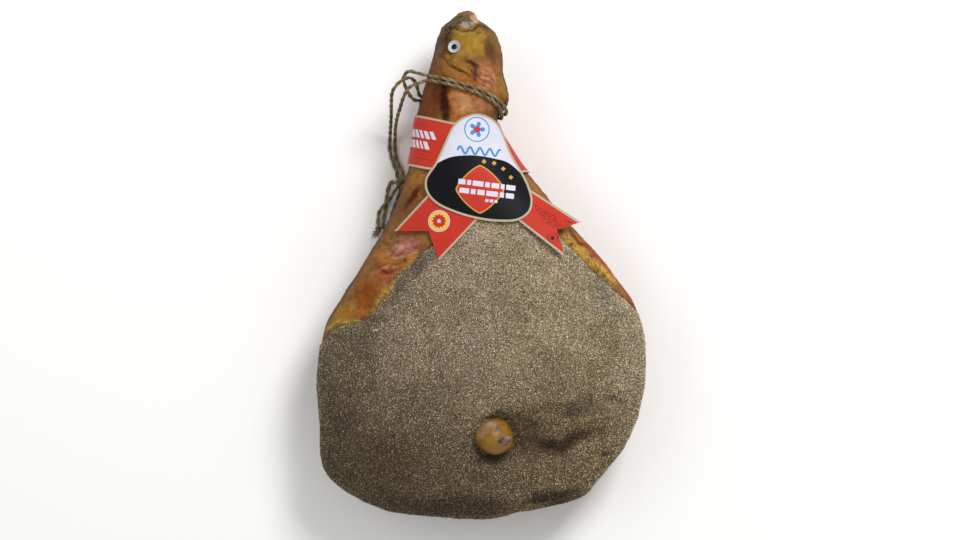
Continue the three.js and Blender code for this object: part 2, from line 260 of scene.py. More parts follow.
def fieldNode(tree, name, part="Fac"):  # what the mesh carries at its points under that name
    return addNode(tree, "Attribute", attribute_name=name).outputs[part]


def noiseNode(tree, place, scale, detail, roughness=0.5, distortion=0.0):
    # Noise about 0.5, with scale waves to a metre and that many finer octaves.
    settings = {"Vector": place, "Scale": scale, "Detail": detail}
    settings.update({"Roughness": roughness, "Distortion": distortion})
    return addNode(tree, "TexNoise", settings).outputs["Fac"]


def rangeNode(tree, value, low, high, toLow=0.0, toHigh=1.0):
    # toLow + (toHigh - toLow) (value - low) / (high - low), held between its two ends.
    settings = {"Value": value, "From Min": low, "From Max": high, "To Min": toLow, "To Max": toHigh}
    return addNode(tree, "MapRange", settings).outputs[0]


def mixNode(tree, amount, under, over, kind="MIX"):
    # under + (over - under) amount, or their product; a hex code stands for its ink.
    under, over = [inkColour(tone) if isinstance(tone, str) else tone for tone in (under, over)]
    return addNode(tree, "Mix", {0: amount, 6: under, 7: over}, data_type="RGBA", blend_type=kind).outputs[2]


def mottledTone(tree, noise, low, high, toLow, toHigh):
    # The piece's own tone times the noise's range.
    share = rangeNode(tree, noise, low, high, toLow, toHigh)
    return mixNode(tree, 1.0, fieldNode(tree, "tone", "Color"), share, "MULTIPLY")


def bumpNode(tree, strength, distance, height, normal=None):
    # Tips the normal by the slope of height times distance, which is in metres.
    settings = {"Strength": strength, "Distance": distance, "Height": height}
    if normal is not None:
        settings["Normal"] = normal
    return addNode(tree, "Bump", settings).outputs[0]


# Colour and relief helpers

darkest = 0.004  # no tone on a piece goes below this


def inkTone(code):  # the ink without its alpha
    return np.array(inkColour(code)[:3])


def addAlpha(tones):  # a fourth part of 1 beside the three
    return np.concatenate([tones, np.ones((*tones.shape[:-1], 1))], axis=-1)


def oval(x, y, atX, atY, wide, long):
    # exp(-(d^2)^2), d the distance from the middle over the oval's size: flat inside, soft at its edge.
    return np.exp(-(((x - atX) / wide) ** 2 + ((y - atY) / long) ** 2) ** 2)


def paint(base, code, weight):  # base + (ink - base) weight
    return base + (inkTone(code) - base) * weight[..., None]


def layered(points, layers):  # the sum of height times noise over layers of size, height and seed
    return sum(height * lattice(points, size, seed) for size, height, seed in layers)


# Studio floor: matt painted board, almost white, so that only a soft shadow shows on it
floorPaint, tree, shader, place = startMaterial("mattPaintedBoard", Roughness=0.9, IOR=1.45)
shader["Base Color"].default_value = inkColour(studio["floorTone"])
half = studio["floorSize"] / 2
floorPoints = [(-half, -half, -0.2), (half, -half, -0.2), (half, half, -0.2), (-half, half, -0.2)]
floor = makePiece("studioFloor", floorPoints, [np.array([[0, 1, 2, 3]])], floorPaint, None)

sky = bpy.data.worlds.new("softSky")
sky.use_nodes = True
sky.node_tree.nodes["Background"].inputs["Color"].default_value = (1, 1, 1, 1)
sky.node_tree.nodes["Background"].inputs["Strength"].default_value = studio["skyStrength"]
scene.world = sky


# The leg's surface, taken from the sections of the CAD ham

leg = {
    "squareness": 2.2, "knobX": 12, "knobReach": 25,
    "buttY": -250.5, "hockY": 250.5, "capSteps": (0.97, 0.9, 0.8, 0.66, 0.5, 0.32, 0.14, 0),
}


def cadPoints(node):
    # The different corners of a CAD piece's mesh, in millimetres.
    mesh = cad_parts[node].data
    points = np.empty(len(mesh.vertices) * 3, np.float32)
    mesh.vertices.foreach_get("co", points)
    return np.unique(np.round(points.reshape(-1, 3).astype(float) * 1000, 2), axis=0)


def legTable():
    # A section is two half superellipses on one level: |x/half|^n + |z/height|^n = 1. Its sides are the
    # extreme points of the ring, and its heights are z over the ellipse's own rise at that x.
    points = cadPoints("ham")
    power = leg["squareness"]
    levels, counts = np.unique(np.round(points[:, 1], 1), return_counts=True)
    rows = []
    for y in levels[counts >= 30]:
        x, _, z = points[np.abs(points[:, 1] - y) < 0.06].T
        left, right, level = x.min(), x.max(), z[x.argmin()]
        across = np.abs(x - (left + right) / 2) / ((right - left) / 2)
        rise = (1 - np.clip(across, 0, 1) ** power) ** (1 / power)
        upper = (z > level + 1) & (rise > 0.3) & (np.abs(x - leg["knobX"]) > leg["knobReach"])
        if not upper.any():
            upper = (z > level + 1) & (rise > 0.3)
        lower = (z < level - 1) & (z > 0.5) & (rise > 0.3)
        top = level + np.median((z[upper] - level) / rise[upper])
        bottom = level - np.median((level - z[lower]) / rise[lower])
        rows.append([y, left, right, top, bottom, level])
    poles = points[points[:, 1].argmin()], points[points[:, 1].argmax()]
    return np.array(rows), *poles


sections, buttPole, hockPole = legTable()


def capRows(pole, row):
    # The end row shrinks to its pole, and goes out to it on a quarter ellipse.
    shrink = np.array(leg["capSteps"])[:, None]
    end = np.array([pole[1], pole[0], pole[0], pole[2], pole[2], pole[2]])
    cap = end + (row - end) * shrink
    cap[:, 0] = row[0] + (pole[1] - row[0]) * np.sqrt(1 - shrink[:, 0] ** 2)
    return cap


def legRows(stations, hockCap=True):
    # Rows of the leg's table at these stations, with the butt's cap and, where wanted, the hock's.
    rows = np.column_stack([stations, smoothRows(sections, stations)])
    capped = [capRows(buttPole, rows[0])[::-1], rows]
    if hockCap:
        capped.append(capRows(hockPole, rows[-1]))
    return np.concatenate(capped)


def sectionPoints(rows, angles):
    # x = middle + half cos^(2/n), z = level + height sin^(2/n), from the right side over the top.
    y, left, right, top, bottom, level = [rows[..., i] for i in range(6)]
    power = 2 / leg["squareness"]
    sine = signedPower(np.sin(angles), power)
    x = (left + right) / 2 + (right - left) / 2 * signedPower(np.cos(angles), power)
    z = level + np.where(sine > 0, top - level, level - bottom) * sine
    return np.stack([x, np.broadcast_to(y, x.shape), np.maximum(z, 0)], axis=-1)


def legAt(y, angles, distance=0):
    # A point of the leg at y and an angle, moved out along the cross product of two short steps.
    def point(atY, atAngle):
        return sectionPoints(np.column_stack([atY, smoothRows(sections, atY)]), atAngle)
    normal = unit(np.cross(point(y + 1, angles) - point(y - 1, angles),
                           point(y, angles + 0.05) - point(y, angles - 0.05)))
    return point(y, angles) + np.asarray(distance)[..., None] * normal, normal


def topAngle(x, y):  # the angle at which the upper side of the section at y is over x
    left, right = smoothRows(sections, y)[..., 0], smoothRows(sections, y)[..., 1]
    across = np.clip((x - (left + right) / 2) / ((right - left) / 2), -1, 1)
    return np.arccos(signedPower(across, leg["squareness"] / 2))


def evenStations(low, high, step):
    # Stations an even distance apart along the profile of the back of the leg.
    fine = np.linspace(low, high, 4000)
    profile = smoothRows(sections, fine)
    run = np.hypot(np.diff(fine), np.hypot(np.diff(profile[:, 2]), np.diff(profile[:, 1]) / 2))
    run = np.concatenate([[0], np.cumsum(run)])
    return np.interp(np.linspace(0, run[-1], int(run[-1] / step) + 1), run, fine)


def strokeDistance(x, y, line, closed=False):
    # Least distance from (x, y) to the line's segments, and how far along the line that is, from 0 to 1.
    line = np.asarray(line, float)
    if closed:
        line = np.concatenate([line, line[:1]])
    best = np.full(np.shape(x), 1e9)
    along = np.zeros(np.shape(x))
    for i, (a, b) in enumerate(zip(line[:-1], line[1:])):
        step = b - a
        t = np.clip(((x - a[0]) * step[0] + (y - a[1]) * step[1]) / (step @ step), 0, 1)
        away = np.hypot(x - a[0] - t * step[0], y - a[1] - t * step[1])
        along = np.where(away < best, (i + t) / (len(line) - 1), along)
        best = np.minimum(best, away)
    return best, along


def groove(x, y, line, width, depth):
    # A valley of Gaussian section along the line, which fades at both its ends.
    away, along = strokeDistance(x, y, line)
    return -depth * np.exp(-(away / width) ** 2) * np.sin(np.pi * np.clip(along, 0.04, 0.96)) ** 0.5


print("leg surface has", len(sections), "sections")


# Jute twine: two turns round the shank, two strands down to a knot, a loop and a frayed end

twine = {
    "across": 3.7, "pitch": 19, "sides": 28, "step": 0.55, "clearance": 0.5, "fineClearance": 0.3,
    "plyRadius": 1.28, "plyOffset": 0.62, "waist": 0.62, "rough": 0.17,
    # dark is the painted shade in the groove between the plies
    "light": "#b09d74", "middle": "#5c4b2d", "dark": "#1c140a", "worn": "#463619",
    "hairs": 260, "hairLength": (1.2, 4), "hairWidth": (0.05, 0.11), "hairBend": 0.035,
    "tuft": 46, "tuftLength": (3, 7.5), "tuftWidth": (0.18, 0.42),
}
# a turn of the wrap: angle in degrees, y
turnLevels = [
    [-160, 166], [-120, 162], [-80, 157], [-40, 153], [0, 151], [30, 156], [60, 166.5], [90, 176],
    [120, 182], [150, 185], [180, 187],
]
mainKnot = {
    "place": (-83, 82.5, 0.5 + 1.25 * twine["across"]),
    "size": (2.8 * twine["across"], 3.2 * twine["across"], 2.5 * twine["across"]),
}
endKnot = {
    "place": (-105.5, 36.5, 0.3 + 0.9 * twine["across"]),
    "size": (1.9 * twine["across"], 2.2 * twine["across"], 1.8 * twine["across"]),
}
inMainKnot = (mainKnot["place"][0], mainKnot["place"][1], mainKnot["place"][2] - twine["across"] / 2)
inEndKnot = (endKnot["place"][0], endKnot["place"][1], endKnot["place"][2] - twine["across"] / 2)
overStrand = twine["across"] + 1.4
bight = [(-66, 191.5, 80), (-73, 193, 75), (-78.5, 187, 70), (-76, 177, 65), (-69, 166, 60)]
outerStrand = [
    (-67, 183, 69), (-73.5, 186.5, 77), (-82, 182, 79), (-89, 174, 71), (-91, 163, 56), (-91.5, 152, 38),
    (-92.5, 141, 20), (-93.5, 131, 6), (-94, 120, 0.6), (-91.5, 107, 0.4), (-87, 95, 0.4), (-85.6, 88.5, 2),
    inMainKnot,
]
innerStrand = [
    (-72, 177, 80), (-78, 168, 71), (-82, 158, 56), (-86, 147, 36), (-88, 136, 16), (-88.5, 127, 3.7),
    (-88.3, 117, 0.5), (-86.2, 105, 0.4), (-81.5, 95, 0.6), (-80.6, 88.5, 2), inMainKnot,
]
loopStrand = [
    inMainKnot, (-93, 84, 0.4), (-96.2, 75, 0.3), (-97.6, 65, 0.3), (-98.6, 55, 0.3), (-100.4, 46, 0.3),
    (-100.4, 39.5, 0.3), (-97.2, 37.6, 0.3), (-93.8, 45, 0.3), (-90, 57, 0.3), (-86, 67, 0.3),
    (-83.2, 75.5, 0.8), inMainKnot,
]
endStrand = [
    inMainKnot, (-88, 76.5, overStrand - 0.2), (-91.8, 70, overStrand), (-95.6, 64.5, overStrand + 0.3),
    (-100.2, 60, overStrand), (-104.2, 55, overStrand / 2), (-105.6, 48, 0.3), inEndKnot,
]

# Jute, two plies twisted together: dull brown-gold, hairy, with painted shade, almost black, in the groove
# where the plies meet.
# Fibres run at a slant along each ply; real ones are 0.05 mm, drawn 0.4 mm wide to show.
juteTwine, tree, shader, place = startMaterial("twistedJute", Roughness=0.88, IOR=1.45)
fibres = noiseNode(tree, fieldNode(tree, "ply", "Vector"), 1.7, 3, 0.65)
patches = noiseNode(tree, place, 110, 2)
tint = mixNode(tree, rangeNode(tree, fibres, 0.34, 0.66), twine["middle"], twine["light"])
tint = mixNode(tree, rangeNode(tree, patches, 0.4, 0.62, 0, 0.6), tint, twine["worn"])
# painted shade: toward black where the plies dip in
plyGrooveShade = rangeNode(tree, fieldNode(tree, "crown"), 0.05, 0.5, 0.95, 0)
tint = mixNode(tree, plyGrooveShade, tint, twine["dark"])
tree.links.new(tint, shader["Base Color"])
tree.links.new(bumpNode(tree, 0.7, 0.0004, fibres), shader["Normal"])


def twistedTube(path, size=1.0, taper=None):
    # A profile of two joined circles, turned as it goes along the path: r is the farther of the two
    # circles' reach at each angle. The frame is turned back by the sum of its own spin, so it doesn't twist.
    ahead = unit(np.gradient(path, axis=0))
    guess = np.where(np.abs(ahead[:, 2:3]) > 0.8, [[1.0, 0, 0]], [[0, 0, 1.0]])
    side = unit(np.cross(guess, ahead))
    moved = unit(side[:-1] - ahead[1:] * np.sum(side[:-1] * ahead[1:], axis=1, keepdims=True))
    sine = np.sum(np.cross(moved, side[1:]) * ahead[1:], axis=1)
    spin = np.arctan2(sine, np.sum(moved * side[1:], axis=1))
    spin = np.concatenate([[0], np.cumsum(spin)])
    run = np.concatenate([[0], np.cumsum(np.linalg.norm(np.diff(path, axis=0), axis=1))])
    turn = run / twine["pitch"] * 2 * np.pi / size
    around = np.arange(twine["sides"]) / twine["sides"] * 2 * np.pi
    cosine, sine = np.cos(around), np.sin(around)
    inside = np.maximum(twine["plyRadius"] ** 2 - (twine["plyOffset"] * sine) ** 2, 0)
    reach = twine["plyOffset"] * np.abs(cosine) + np.sqrt(inside)
    reach = np.maximum(reach, twine["waist"])
    crown = (reach - reach.min()) / (reach.max() - reach.min())
    angle = around[None] + (turn - spin)[:, None]
    up = np.cross(ahead, side)
    rough = 1 + twine["rough"] * lattice(np.stack(np.broadcast_arrays(
        cosine[None] * 2, sine[None] * 2, run[:, None] * 0.35), axis=-1), 0.8, 7)
    scale = size if taper is None else size * taper[:, None]
    wide = (reach[None] * rough * scale)[..., None]
    cosAngle, sinAngle = np.cos(angle)[..., None], np.sin(angle)[..., None]
    points = path[:, None] + wide * (cosAngle * side[:, None] + sinAngle * up[:, None])
    slant = np.broadcast_arrays(cosine[None] * 2.2, sine[None] * 2.2, run[:, None] * 0.28)
    ply = np.stack(slant, axis=-1) + 0.35 * np.sin(around * 2)[None, :, None] * np.array([0, 0, 1.0])
    crown = np.broadcast_to(crown[None], points.shape[:2])
    return points, ply, crown


def tubePiece(name, path, size=1.0, taper=None):
    # The tube's grid wraps round, and each end is closed with a fan to the path's own end.
    points, ply, crown = twistedTube(path, size, taper)
    rows, sides = points.shape[:2]
    grid = gridFaces(rows, sides, wrap=True)
    k = np.arange(sides)
    start, end, last = rows * sides, rows * sides + 1, (rows - 1) * sides
    fans = np.concatenate([
        np.stack([np.full(sides, start), (k + 1) % sides, k], axis=1),
        np.stack([np.full(sides, end), k + last, (k + 1) % sides + last], axis=1),
    ])
    allPoints = np.concatenate([points.reshape(-1, 3), path[:1], path[-1:]])
    fields = {
        "ply": np.concatenate([ply.reshape(-1, 3), np.zeros((2, 3))]),
        "crown": np.concatenate([crown.ravel(), [0.3, 0.3]]),
    }
    return makePiece(name, allPoints, [grid, fans], juteTwine, "jute_twine", fields)


def turnPoints(shift, last):
    # Points of one turn round the shank: half the twine and its clearance off the skin at each level.
    degrees = np.arange(turnLevels[0][0], last + 1, 15)
    levels = smoothRows(turnLevels, degrees)[:, 0] + shift
    away = twine["across"] / 2 + twine["clearance"] + 0.6
    return legAt(levels, np.radians(degrees), np.full(len(degrees), away))[0]


def route(points):  # the routes' heights are those of the twine's underside
    return np.array(points, float) + [0, 0, twine["across"] / 2]


def leadOut(end, before):
    # Two points straight on from the end of a turn, a clearance away and one twine further.
    onward = unit(end - before)
    near = twine["fineClearance"]
    return np.array([end + onward * away for away in (near, near + twine["across"])])


shift = (twine["across"] + twine["clearance"]) / 2
wrapRoute = np.concatenate([turnPoints(shift, 165), route(bight), turnPoints(-shift, 150)])
outerRoute = np.concatenate([leadOut(wrapRoute[0], wrapRoute[1]), route(outerStrand)])
innerRoute = np.concatenate([leadOut(wrapRoute[-1], wrapRoute[-2]), route(innerStrand)])


def knotPath(knot, scale):
    # A trefoil: (sin t + 2 sin 2t, cos t - 2 cos 2t, -sin 3t), stretched to the knot's size less the twine.
    t = np.linspace(0, 2 * np.pi, 90)[:-3]
    bare = np.stack([np.sin(t) + 2 * np.sin(2 * t), np.cos(t) - 2 * np.cos(2 * t), -np.sin(3 * t)], axis=1)
    room = (np.array(knot["size"]) - twine["across"] * scale) / 2 / [2.9, 2.9, 1.0]
    return np.array(knot["place"]) + bare * room


wrapPath = smoothPath(wrapRoute, twine["step"])
wrap = tubePiece("twineWrap", wrapPath)
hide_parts("twine_wrap")
knot = tubePiece("twineKnot", smoothPath(knotPath(mainKnot, 0.92), 0.4), 0.92)
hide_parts("twine_knot")
tail = tubePiece("twineEndKnot", smoothPath(knotPath(endKnot, 0.72), 0.35), 0.72)
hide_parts("twine_end_knot")

# name, route, CAD node, length in metres, piece at its far end
freeStrands = [
    ("twineOuter", outerRoute, "twine_outer", knot),
    ("twineInner", innerRoute, "twine_inner", knot),
    ("twineLoop", route(loopStrand), "twine_loop", knot),
    ("twineEnd", route(endStrand), "twine_end", tail),
]
for name, points, node, far in freeStrands:
    path = smoothPath(points, twine["step"])
    strand = tubePiece(name, path)
    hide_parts(node)
    print(name, "is", round(pathLength(path)), "mm long")


def repeatFaces(faces, count, corners):  # the same faces for each solid, whose points follow in turn
    return (faces[None] + (np.arange(count) * corners)[:, None, None]).reshape(-1, faces.shape[1])


def hairStrips(roots, ways, lengths, widths, bends):
    # Each hair is a three-sided spike of four rings on a parabola: root + way t + bend t^2.
    t = np.array([0, 0.35, 0.7, 1.0])
    run = t[None, :, None] * lengths[:, None, None]
    middle = roots[:, None] + ways[:, None] * run + bends[:, None] * run ** 2
    side = unit(np.cross(ways, [0.31, 0.22, 0.93]))
    up = np.cross(ways, side)
    turn = np.arange(3) * 2 * np.pi / 3
    ring = side[:, None] * np.cos(turn)[None, :, None] + up[:, None] * np.sin(turn)[None, :, None]
    wide = (widths[:, None] * (1 - 0.85 * t)[None])[..., None, None]
    points = middle[:, :, None] + ring[:, None] * wide
    caps = np.array([[0, 2, 1], [9, 10, 11]])
    sides, ends = [repeatFaces(faces, len(roots), 12) for faces in (gridFaces(4, 3, wrap=True), caps)]
    return points.reshape(-1, 3), sides, ends


def juteHairs():
    # Stray fibres on every strand, and a frayed tuft below the end knot.
    paths = np.concatenate([wrapPath] + [smoothPath(points, 1) for _, points, _, _ in freeStrands])
    count = twine["hairs"]
    roots = paths[dice.integers(0, len(paths) - 2, count)]
    ways = unit(dice.normal(size=(count, 3)) * [1, 1, 0.6])
    roots = roots + ways * 1.2
    lengths, widths = dice.uniform(*twine["hairLength"], count), dice.uniform(*twine["hairWidth"], count)
    tuft = twine["tuft"]
    place = np.array(endKnot["place"]) + [-1.6, -2.8, -1.2]
    tuftRoots = place + dice.normal(size=(tuft, 3)) * [1.1, 0.8, 0.7]
    tuftWays = unit(np.array([-0.55, -0.8, -0.05]) + dice.normal(size=(tuft, 3)) * [0.34, 0.34, 0.14])
    tuftLengths = dice.uniform(*twine["tuftLength"], tuft)
    tuftWidths = dice.uniform(*twine["tuftWidth"], tuft)
    roots, ways = np.concatenate([roots, tuftRoots]), np.concatenate([ways, tuftWays])
    lengths, widths = np.concatenate([lengths, tuftLengths]), np.concatenate([widths, tuftWidths])
    bends = dice.normal(size=roots.shape) * twine["hairBend"]
    points, faces, caps = hairStrips(roots, ways, lengths, widths, bends)
    points[:, 2] = np.maximum(points[:, 2], 0.15)
    fields = {"ply": points, "crown": np.full(len(points), 0.8)}
    piece = makePiece("twineHairs", points, [faces, caps], juteTwine, "jute_twine", fields)
    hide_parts("twine_end_knot")


juteHairs()
print("twine is laid")


# Ham skin

skin = {
    "columns": 264, "legStep": 1.35, "rindStep": 3.4, "splitY": -66,
    "base": "#9c6b3a", "rindLight": "#b88c54", "rindDark": "#7d5228", "shade": 0.73, "sunk": 5,
    # side is the painted shade along the level where the skin turns under, sideRight the amber that band
    # takes on the right flank; the other side values set where it lies and how strong it is
    "side": "#2c190c", "sideRight": "#9c4414", "sideLevel": 0.06, "blood": "#7a3320", "pore": "#3d2413",
    "lumps": [(26, 0.8, 3), (9, 0.45, 4), (3.6, 0.22, 5)], "folds": 0.35, "crinkles": 0.85,
    "evenCrinkle": 0.22, "crinkleShade": 0.42, "speckShade": 0.8,
    "warpX": [(8, 2.2, 13), (3, 1, 15)], "warpY": [(8, 2.2, 14), (3, 1, 16)],
    "patches": [(30, 1, 11), (11, 0.5, 12)], "creaseWarp": [(7, 1.6, 6)],
    "specks": [(1.5, 1, 63), (4, 0.6, 64)], "sideWidths": (0.75, 0.28, 0.18), "sideStrength": 0.72,
    "sideNoise": [(12, 0.3, 65)], "sideLimits": (0.3, 0.9),
}
# Lines that a crease and a stroke of colour both follow
hockSeam = [(-32, 235), (-25, 234), (-18, 232), (-10, 234), (-5, 238), (3, 237), (8, 234)]
sealFold = [(-37, 206), (-34, 202), (-30, 197), (-24, 193), (-18, 190), (-12, 186)]
sealRidge = [(-34, 207), (-31, 203), (-26, 198), (-19, 194), (-14, 190)]
bruiseFold = [(-16, 201), (-10, 199), (-5, 196)]
shankRidgeA = [(-12, 203), (-5, 200), (3, 196), (11, 190), (15, 184)]
shankRidgeB = [(-5, 195), (3, 192), (11, 186), (16, 180)]
shankRidgeC = [(-4, 189), (3, 185), (10, 180), (14, 173)]
shankGrooveA = [(-4, 192), (5, 187), (14, 178)]
shankGrooveB = [(-5, 187), (3, 182), (11, 175)]
flankRidgeA = [(-109, 16), (-106, 9), (-101, 5), (-92, 1), (-84, 0), (-72, 2), (-64, 6)]
flankRidgeB = [(-96, 16), (-92, 11), (-84, 8), (-72, 9)]
flankRidgeC = [(-89, 16), (-81, 18), (-70, 20), (-61, 24)]
flankRidgeD = [(-106, -8), (-99, -3), (-89, -2), (-82, -3)]
flankRidgeE = [(-105, -14), (-96, -9), (-88, -8), (-79, -6)]
flankGrooveA = [(-108, 13), (-104, 7), (-96, 2), (-86, 1), (-75, 3)]
flankGrooveB = [(-95, 13), (-85, 11), (-72, 12)]
flankGrooveC = [(-107, -6), (-99, -1), (-88, 1), (-78, -1)]
flankGrooveD = [(-104, -11), (-95, -6), (-84, -5)]
flankFold = [(-60, 78), (-66, 73), (-70, 65), (-78, 54)]
# creases: line, width, depth
skinCreases = [
    # the bare hock
    (hockSeam, 1.2, 1.4), ([(-28, 238), (-20, 237), (-12, 237), (-8, 240)], 2.4, -0.7),
    ([(-40, 226), (-38, 221), (-39, 216)], 1.3, 0.9),
    # round the seal, the bruise and the wrinkles beside it
    (sealFold, 1.5, 2.3), (sealRidge, 2, -1.3),
    *[(line, 1.3, -0.8) for line in (
        shankRidgeA, shankRidgeB, shankRidgeC, [(-6, 185), (1, 180), (7, 176)],
    )],
    *[(line, 1.1, 0.8) for line in (
        [(-8, 199), (-1, 197), (7, 191), (14, 183)], shankGrooveA, shankGrooveB,
    )],
    (bruiseFold, 1.7, 1.3), ([(-5, 196), (-8, 192), (-8, 185)], 1.6, 1),
    ([(-33, 206), (-32, 204), (-31, 203)], 1, 0.8),
    # the shank between twine and band
    ([(-1, 174), (5, 170), (11, 164)], 1.3, -0.8), ([(-5, 180), (3, 174), (10, 170)], 1.1, 0.8),
    # left flank
    *[(line, 1.5, -1.1) for line in (
        flankRidgeA, flankRidgeB, [(-92, 23), (-84, 24), (-72, 26)], flankRidgeC, flankRidgeD,
        flankRidgeE, [(-103, -18), (-94, -13), (-84, -12)], [(-89, -7), (-79, -2), (-71, 2)],
        [(-121, -46), (-115, -40), (-106, -37)], [(-128, -51), (-121, -48), (-114, -50)],
    )],
    *[(line, 1.2, 1) for line in (
        flankGrooveA, flankGrooveB, [(-92, 20), (-82, 21), (-71, 23)], flankGrooveC, flankGrooveD,
        [(-102, -16), (-92, -11), (-82, -9)], [(-86, -9), (-77, -4), (-68, -1)],
    )],
    ([(-155, -66), (-145, -57), (-129, -54), (-119, -60)], 1.5, -0.8), (flankFold, 1.7, 1.6),
    # right flank
    ([(88, 36), (94, 29), (99, 23), (106, 16)], 2.4, 0.5),
    ([(80, 27), (89, 19), (100, 10), (112, 0), (123, -7)], 2.4, -0.5),
]
# small red dots on the shank
skinDots = [(-32, 155), (-24, 158), (-13, 167), (-19, 171), (-9, 163), (-28, 164), (-25, 149)]
# tones: x, y, half width, half length, turn in degrees, colour, strength
skinTones = [
    # the bare hock
    (-16, 221, 25, 22, 0, "#ab8434", 0.95), (-19, 226, 13, 9, 0, "#b08a2e", 0.6),
    (-37, 221, 8, 17, -15, "#4e3c22", 0.85), (-41, 219, 2.5, 9, -10, "#6e6468", 0.5),
    (-30, 237, 11, 7, 30, "#5a4c33", 0.8), (13, 225, 8, 12, 0, "#7d6232", 0.75),
    (6, 215, 5, 9, 5, "#4f3d20", 0.75), (11, 208, 6, 10, 15, "#6d3f2c", 0.75),
    (6, 207, 4.5, 8, 30, "#7d4a34", 0.6), (-17, 242, 11, 6.5, 0, "#85765a", 0.9),
    (-14, 240, 5.5, 4, 0, "#b5a88e", 0.85), (-20, 239, 4, 2.5, 0, "#a3977f", 0.7),
    (-15, 248, 5, 2.5, 0, "#6e5e3e", 0.7),
    (-4, 231, 2, 1.5, 0, "#54301f", 0.7), (-18, 248, 9, 4.5, 0, "#75664a", 0.85),
    (-25, 244, 8, 5, 25, "#6b5d42", 0.8), (3, 237, 7, 4, -25, "#6e5b38", 0.7),
    (-8, 247, 4, 5.5, 35, "#e8c48a", 0.95),
    # round the seal, the bruise and the wrinkles beside it
    (-29, 190, 13, 9, -30, "#9a7432", 0.75), (-43, 196, 8, 13, 0, "#7d5c2c", 0.75),
    (5, 187, 12, 15, 20, "#bb7a50", 0.85), (5, 177, 9, 10, 20, "#c98d70", 0.65),
    (-8, 206, 6, 5, 0, "#a87c40", 0.6), (-18, 203, 7, 3, -10, "#8e6438", 0.7),
    (20, 178, 6.5, 17, 0, "#a8782e", 0.85), (14, 196, 3.5, 10, 10, "#8a5a3c", 0.6),
    (-7, 187, 4.5, 6, 0, "#6b4434", 0.6), (-32, 204, 2, 2, 0, "#3b2612", 0.75),
    (-37, 176, 8, 9, 0, "#1c0806", 0.8),
    # the shank between twine and band
    # the second oval is painted shade on the left side of the shank
    (-18, 160, 26, 36, 0, "#bd7234", 0.85), (-55, 156, 15, 34, 0, "#7c4020", 0.85),
    (-37, 163, 5.5, 24, 5, "#240c08", 0.95), (-46, 167, 4, 13, 0, "#5a1d16", 0.6),
    # both are painted highlights on the middle of the shank
    (-20, 161, 9, 12, 0, "#d9a06c", 0.75), (-5, 159, 13, 11, 0, "#c48c60", 0.6),
    *[(x, y, 2, 1.5, 0, "#962f1a", 0.55) for x, y in skinDots],
    (23, 159, 9, 7, 0, "#331411", 0.9),
    (16, 164, 6, 9, 0, "#9c6430", 0.7), (-60, 110, 10, 14, 0, "#8a4a26", 0.6),
    (-37, 159, 6.5, 17, 0, "#35140b", 0.7),
    # left flank
    (-62, 82, 11, 20, 0, "#b3783a", 0.85), (-73, 58, 11, 15, -30, "#8a5630", 0.8),
    (-75, 21, 14, 12, 0, "#a86a58", 0.85), (-82, 16, 6, 5, 30, "#cc9682", 0.65),
    (-71, 24, 5, 3.5, 20, "#b9786a", 0.7), (-64, 18, 5, 9, 20, "#7c3c40", 0.55),
    (-72, 13, 6, 3.5, 0, "#b88274", 0.6), (-102, 26, 7, 9, 0, "#8e5c34", 0.7),
    (-95, 7, 13, 6, -10, "#c07c30", 0.8), (-75, 6, 9, 3.5, 15, "#b96c2c", 0.7),
    (-106, 6, 7, 8, 0, "#97682e", 0.6), (-96, -9, 10, 8, 25, "#a85438", 0.75),
    (-97, -6, 2.5, 2.5, 0, "#7e1c18", 0.75), (-101, -14, 3, 2, 30, "#8e2e22", 0.55),
    (-84, -1, 5, 3, 20, "#b06a4c", 0.6), (-114, -27, 15, 14, 40, "#94501a", 0.9),
    (-116, -37, 10, 8, 40, "#8a4a18", 0.6), (-131, -21, 8, 13, -35, "#9a7440", 0.6),
    (-138, -46, 11, 9, 0, "#b28226", 0.85), (-122, -47, 9, 5, 0, "#b06a2c", 0.7),
    (-116, -53, 6, 3, 0, "#9a6248", 0.6), (-153, -63, 5, 7, 30, "#8b6c32", 0.7),
    (-119, -60, 3.5, 2, 0, "#cfc08e", 0.8),
    # right flank
    (83, 33, 9, 6, -40, "#b98452", 0.85), (96, 17, 9, 22, 40, "#d3a04a", 0.9),
    (123, -9, 9, 26, 35, "#d0a152", 0.9), (137, -32, 8, 16, 30, "#b07a44", 0.85),
    (123, -20, 7, 15, 35, "#a8884e", 0.7), (60, 78, 16, 20, 0, "#b37c44", 0.7),
]
